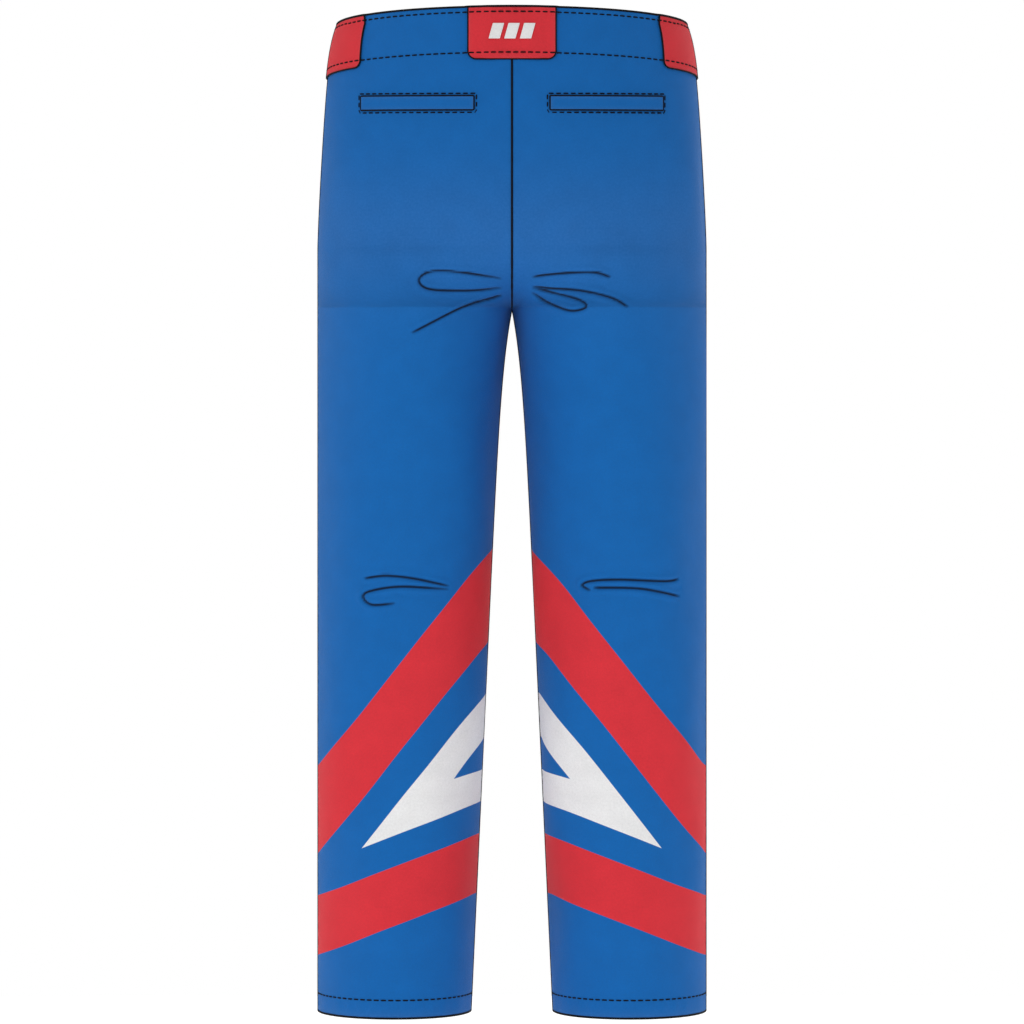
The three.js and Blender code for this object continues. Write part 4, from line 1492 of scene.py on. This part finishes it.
def cast(node, name, body, round_to):
    """A copy of a frame node with its edges rounded."""
    piece = picked(name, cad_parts[node].data.copy())
    merge_points()
    bpy.ops.mesh.dissolve_limited(angle_limit=math.radians(1))
    bpy.ops.object.mode_set(mode="OBJECT")
    bevel = piece.modifiers.new("round_edges", "BEVEL")
    bevel.width = round_to
    bevel.segments = 3
    bevel.limit_method = "ANGLE"
    bevel.angle_limit = math.radians(25)
    bpy.ops.object.modifier_apply(modifier=bevel.name)
    settle(piece, body, node, zip_metal, 35)


for side in SIDES:
    cast(f"{side}_zip_teeth", f"{side}_teeth", "root", 0.00022)
    cast(f"{side}_zip_top_stop", f"{side}_top_stop", "root", 0.0003)
cast("zip_bottom_stop", "bottom_stop", "root", 0.0004)
cast("zip_slider", "slider", "zip_slider", 0.00032)
cast("zip_pull", "pull_tab", "zip_pull", 0.00028)

# %% [markdown]
# ## Press snap
# The snap has a domed cap with a rolled rim on the flap, a ring socket behind it and
# a stud on the front. Each is a profile turned about its own axis with Screw.

# %% Turned parts of the snap
SNAP_AXIS = (-0.014, 0, -0.018)


def turned(name, profile, body, node):
    """A closed profile of (radius, height) turned about the snap's axis."""
    mesh = bpy.data.meshes.new(name)
    mesh.from_pydata(
        [(r, y, 0.0) for r, y in profile], [(i, i + 1) for i in range(len(profile) - 1)], []
    )
    piece = picked(name, mesh)
    screw = piece.modifiers.new("turn", "SCREW")
    screw.axis = "Y"
    screw.steps = screw.render_steps = 48
    screw.use_merge_vertices = True
    screw.merge_threshold = 1e-6
    bpy.ops.object.modifier_apply(modifier=screw.name)
    merge_points()
    bpy.ops.mesh.normals_make_consistent(inside=False)
    bpy.ops.object.mode_set(mode="OBJECT")
    spots = np.array([v.co for v in piece.data.vertices]) + SNAP_AXIS
    piece.data.vertices.foreach_set("co", from_fly(spots).ravel())
    settle(piece, body, node, snap_metal, 40)


dome = [(0.0064 * math.sin(a), 0.0044 + 0.0015 * math.cos(a)) for a in np.linspace(0, 1.25, 9)]
cap_rim = [(0.0065, 0.0046), (0.0066, 0.0042), (0.0062, 0.0039), (0.0, 0.0039)]
dish = [(0.0, 0.0056), (0.0022, 0.0056), (0.0028, 0.0058)]
turned("cap", dish + dome[4:] + cap_rim, "closure_flap", "snap_cap")
ring = [(0.0024, 0.0015), (0.0028, 0.0013), (0.0046, 0.0013), (0.005, 0.0016), (0.005, 0.0021),
        (0.0024, 0.0021), (0.0024, 0.0015)]
turned("socket", ring, "closure_flap", "snap_socket")
stud = [(0.0, 0.0019), (0.0014, 0.0019), (0.002, 0.0016), (0.0018, 0.0011), (0.0022, 0.0009),
        (0.005, 0.0008), (0.0055, 0.0004), (0.0054, -0.0002), (0.0, -0.0002)]
turned("stud", stud, "root", "snap_stud")

# %% [markdown]
# ## The fold that the flap swings on
# The flap isn't hinged with a pin. A strip of the same red twill covers its sewn
# end and its root, and bends where they meet.

# %% Flap fold
FOLD_START, FOLD_WIDE, FOLD_HIGH = 0.03, 0.0112, 0.0284
down = spaced(0.0285, 0.0016)[:, None]
x = FOLD_START - FOLD_WIDE * spaced(FOLD_WIDE, 0.0008) + 0 * down
z = FLAP_TOP + 0.0002 - FOLD_HIGH * down + 0 * x
y = 0.0021 + 0.0023 * smooth(-x, -0.028, -0.0205)
middle = from_fly(np.stack([x, y, z], -1))
fold = sheet_piece(
    "flap_fold", middle, middle * 0 + [0, 1, 0], 0.0009, trim_cloth,
    rolled="tbse",
)
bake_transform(fold)

# %% Edge line of the flap
flap_edge = [(0.021, -0.0042), (-0.02, -0.0042), (-0.0235, -0.0062), (-0.0257, -0.01),
             (-0.0257, -0.026), (-0.0235, -0.0298), (-0.02, -0.0318), (0.021, -0.0318)]
corner = np.concatenate([curve_through(flap_edge[:5], 8), curve_through(flap_edge[4:], 8)])
flap_line = round_line(*fly_line(corner, FLAP_BACK + 0.001))
edging = gather("flap_edge_line", [flap_line], "closure_flap")
print("flap edge", len(edging.data.vertices), "points")

# %% [markdown]
# The shown object's box is written beside the frame's, and the frame is checked.

# %% Clearing the selection
bpy.ops.object.select_all(action="DESELECT")
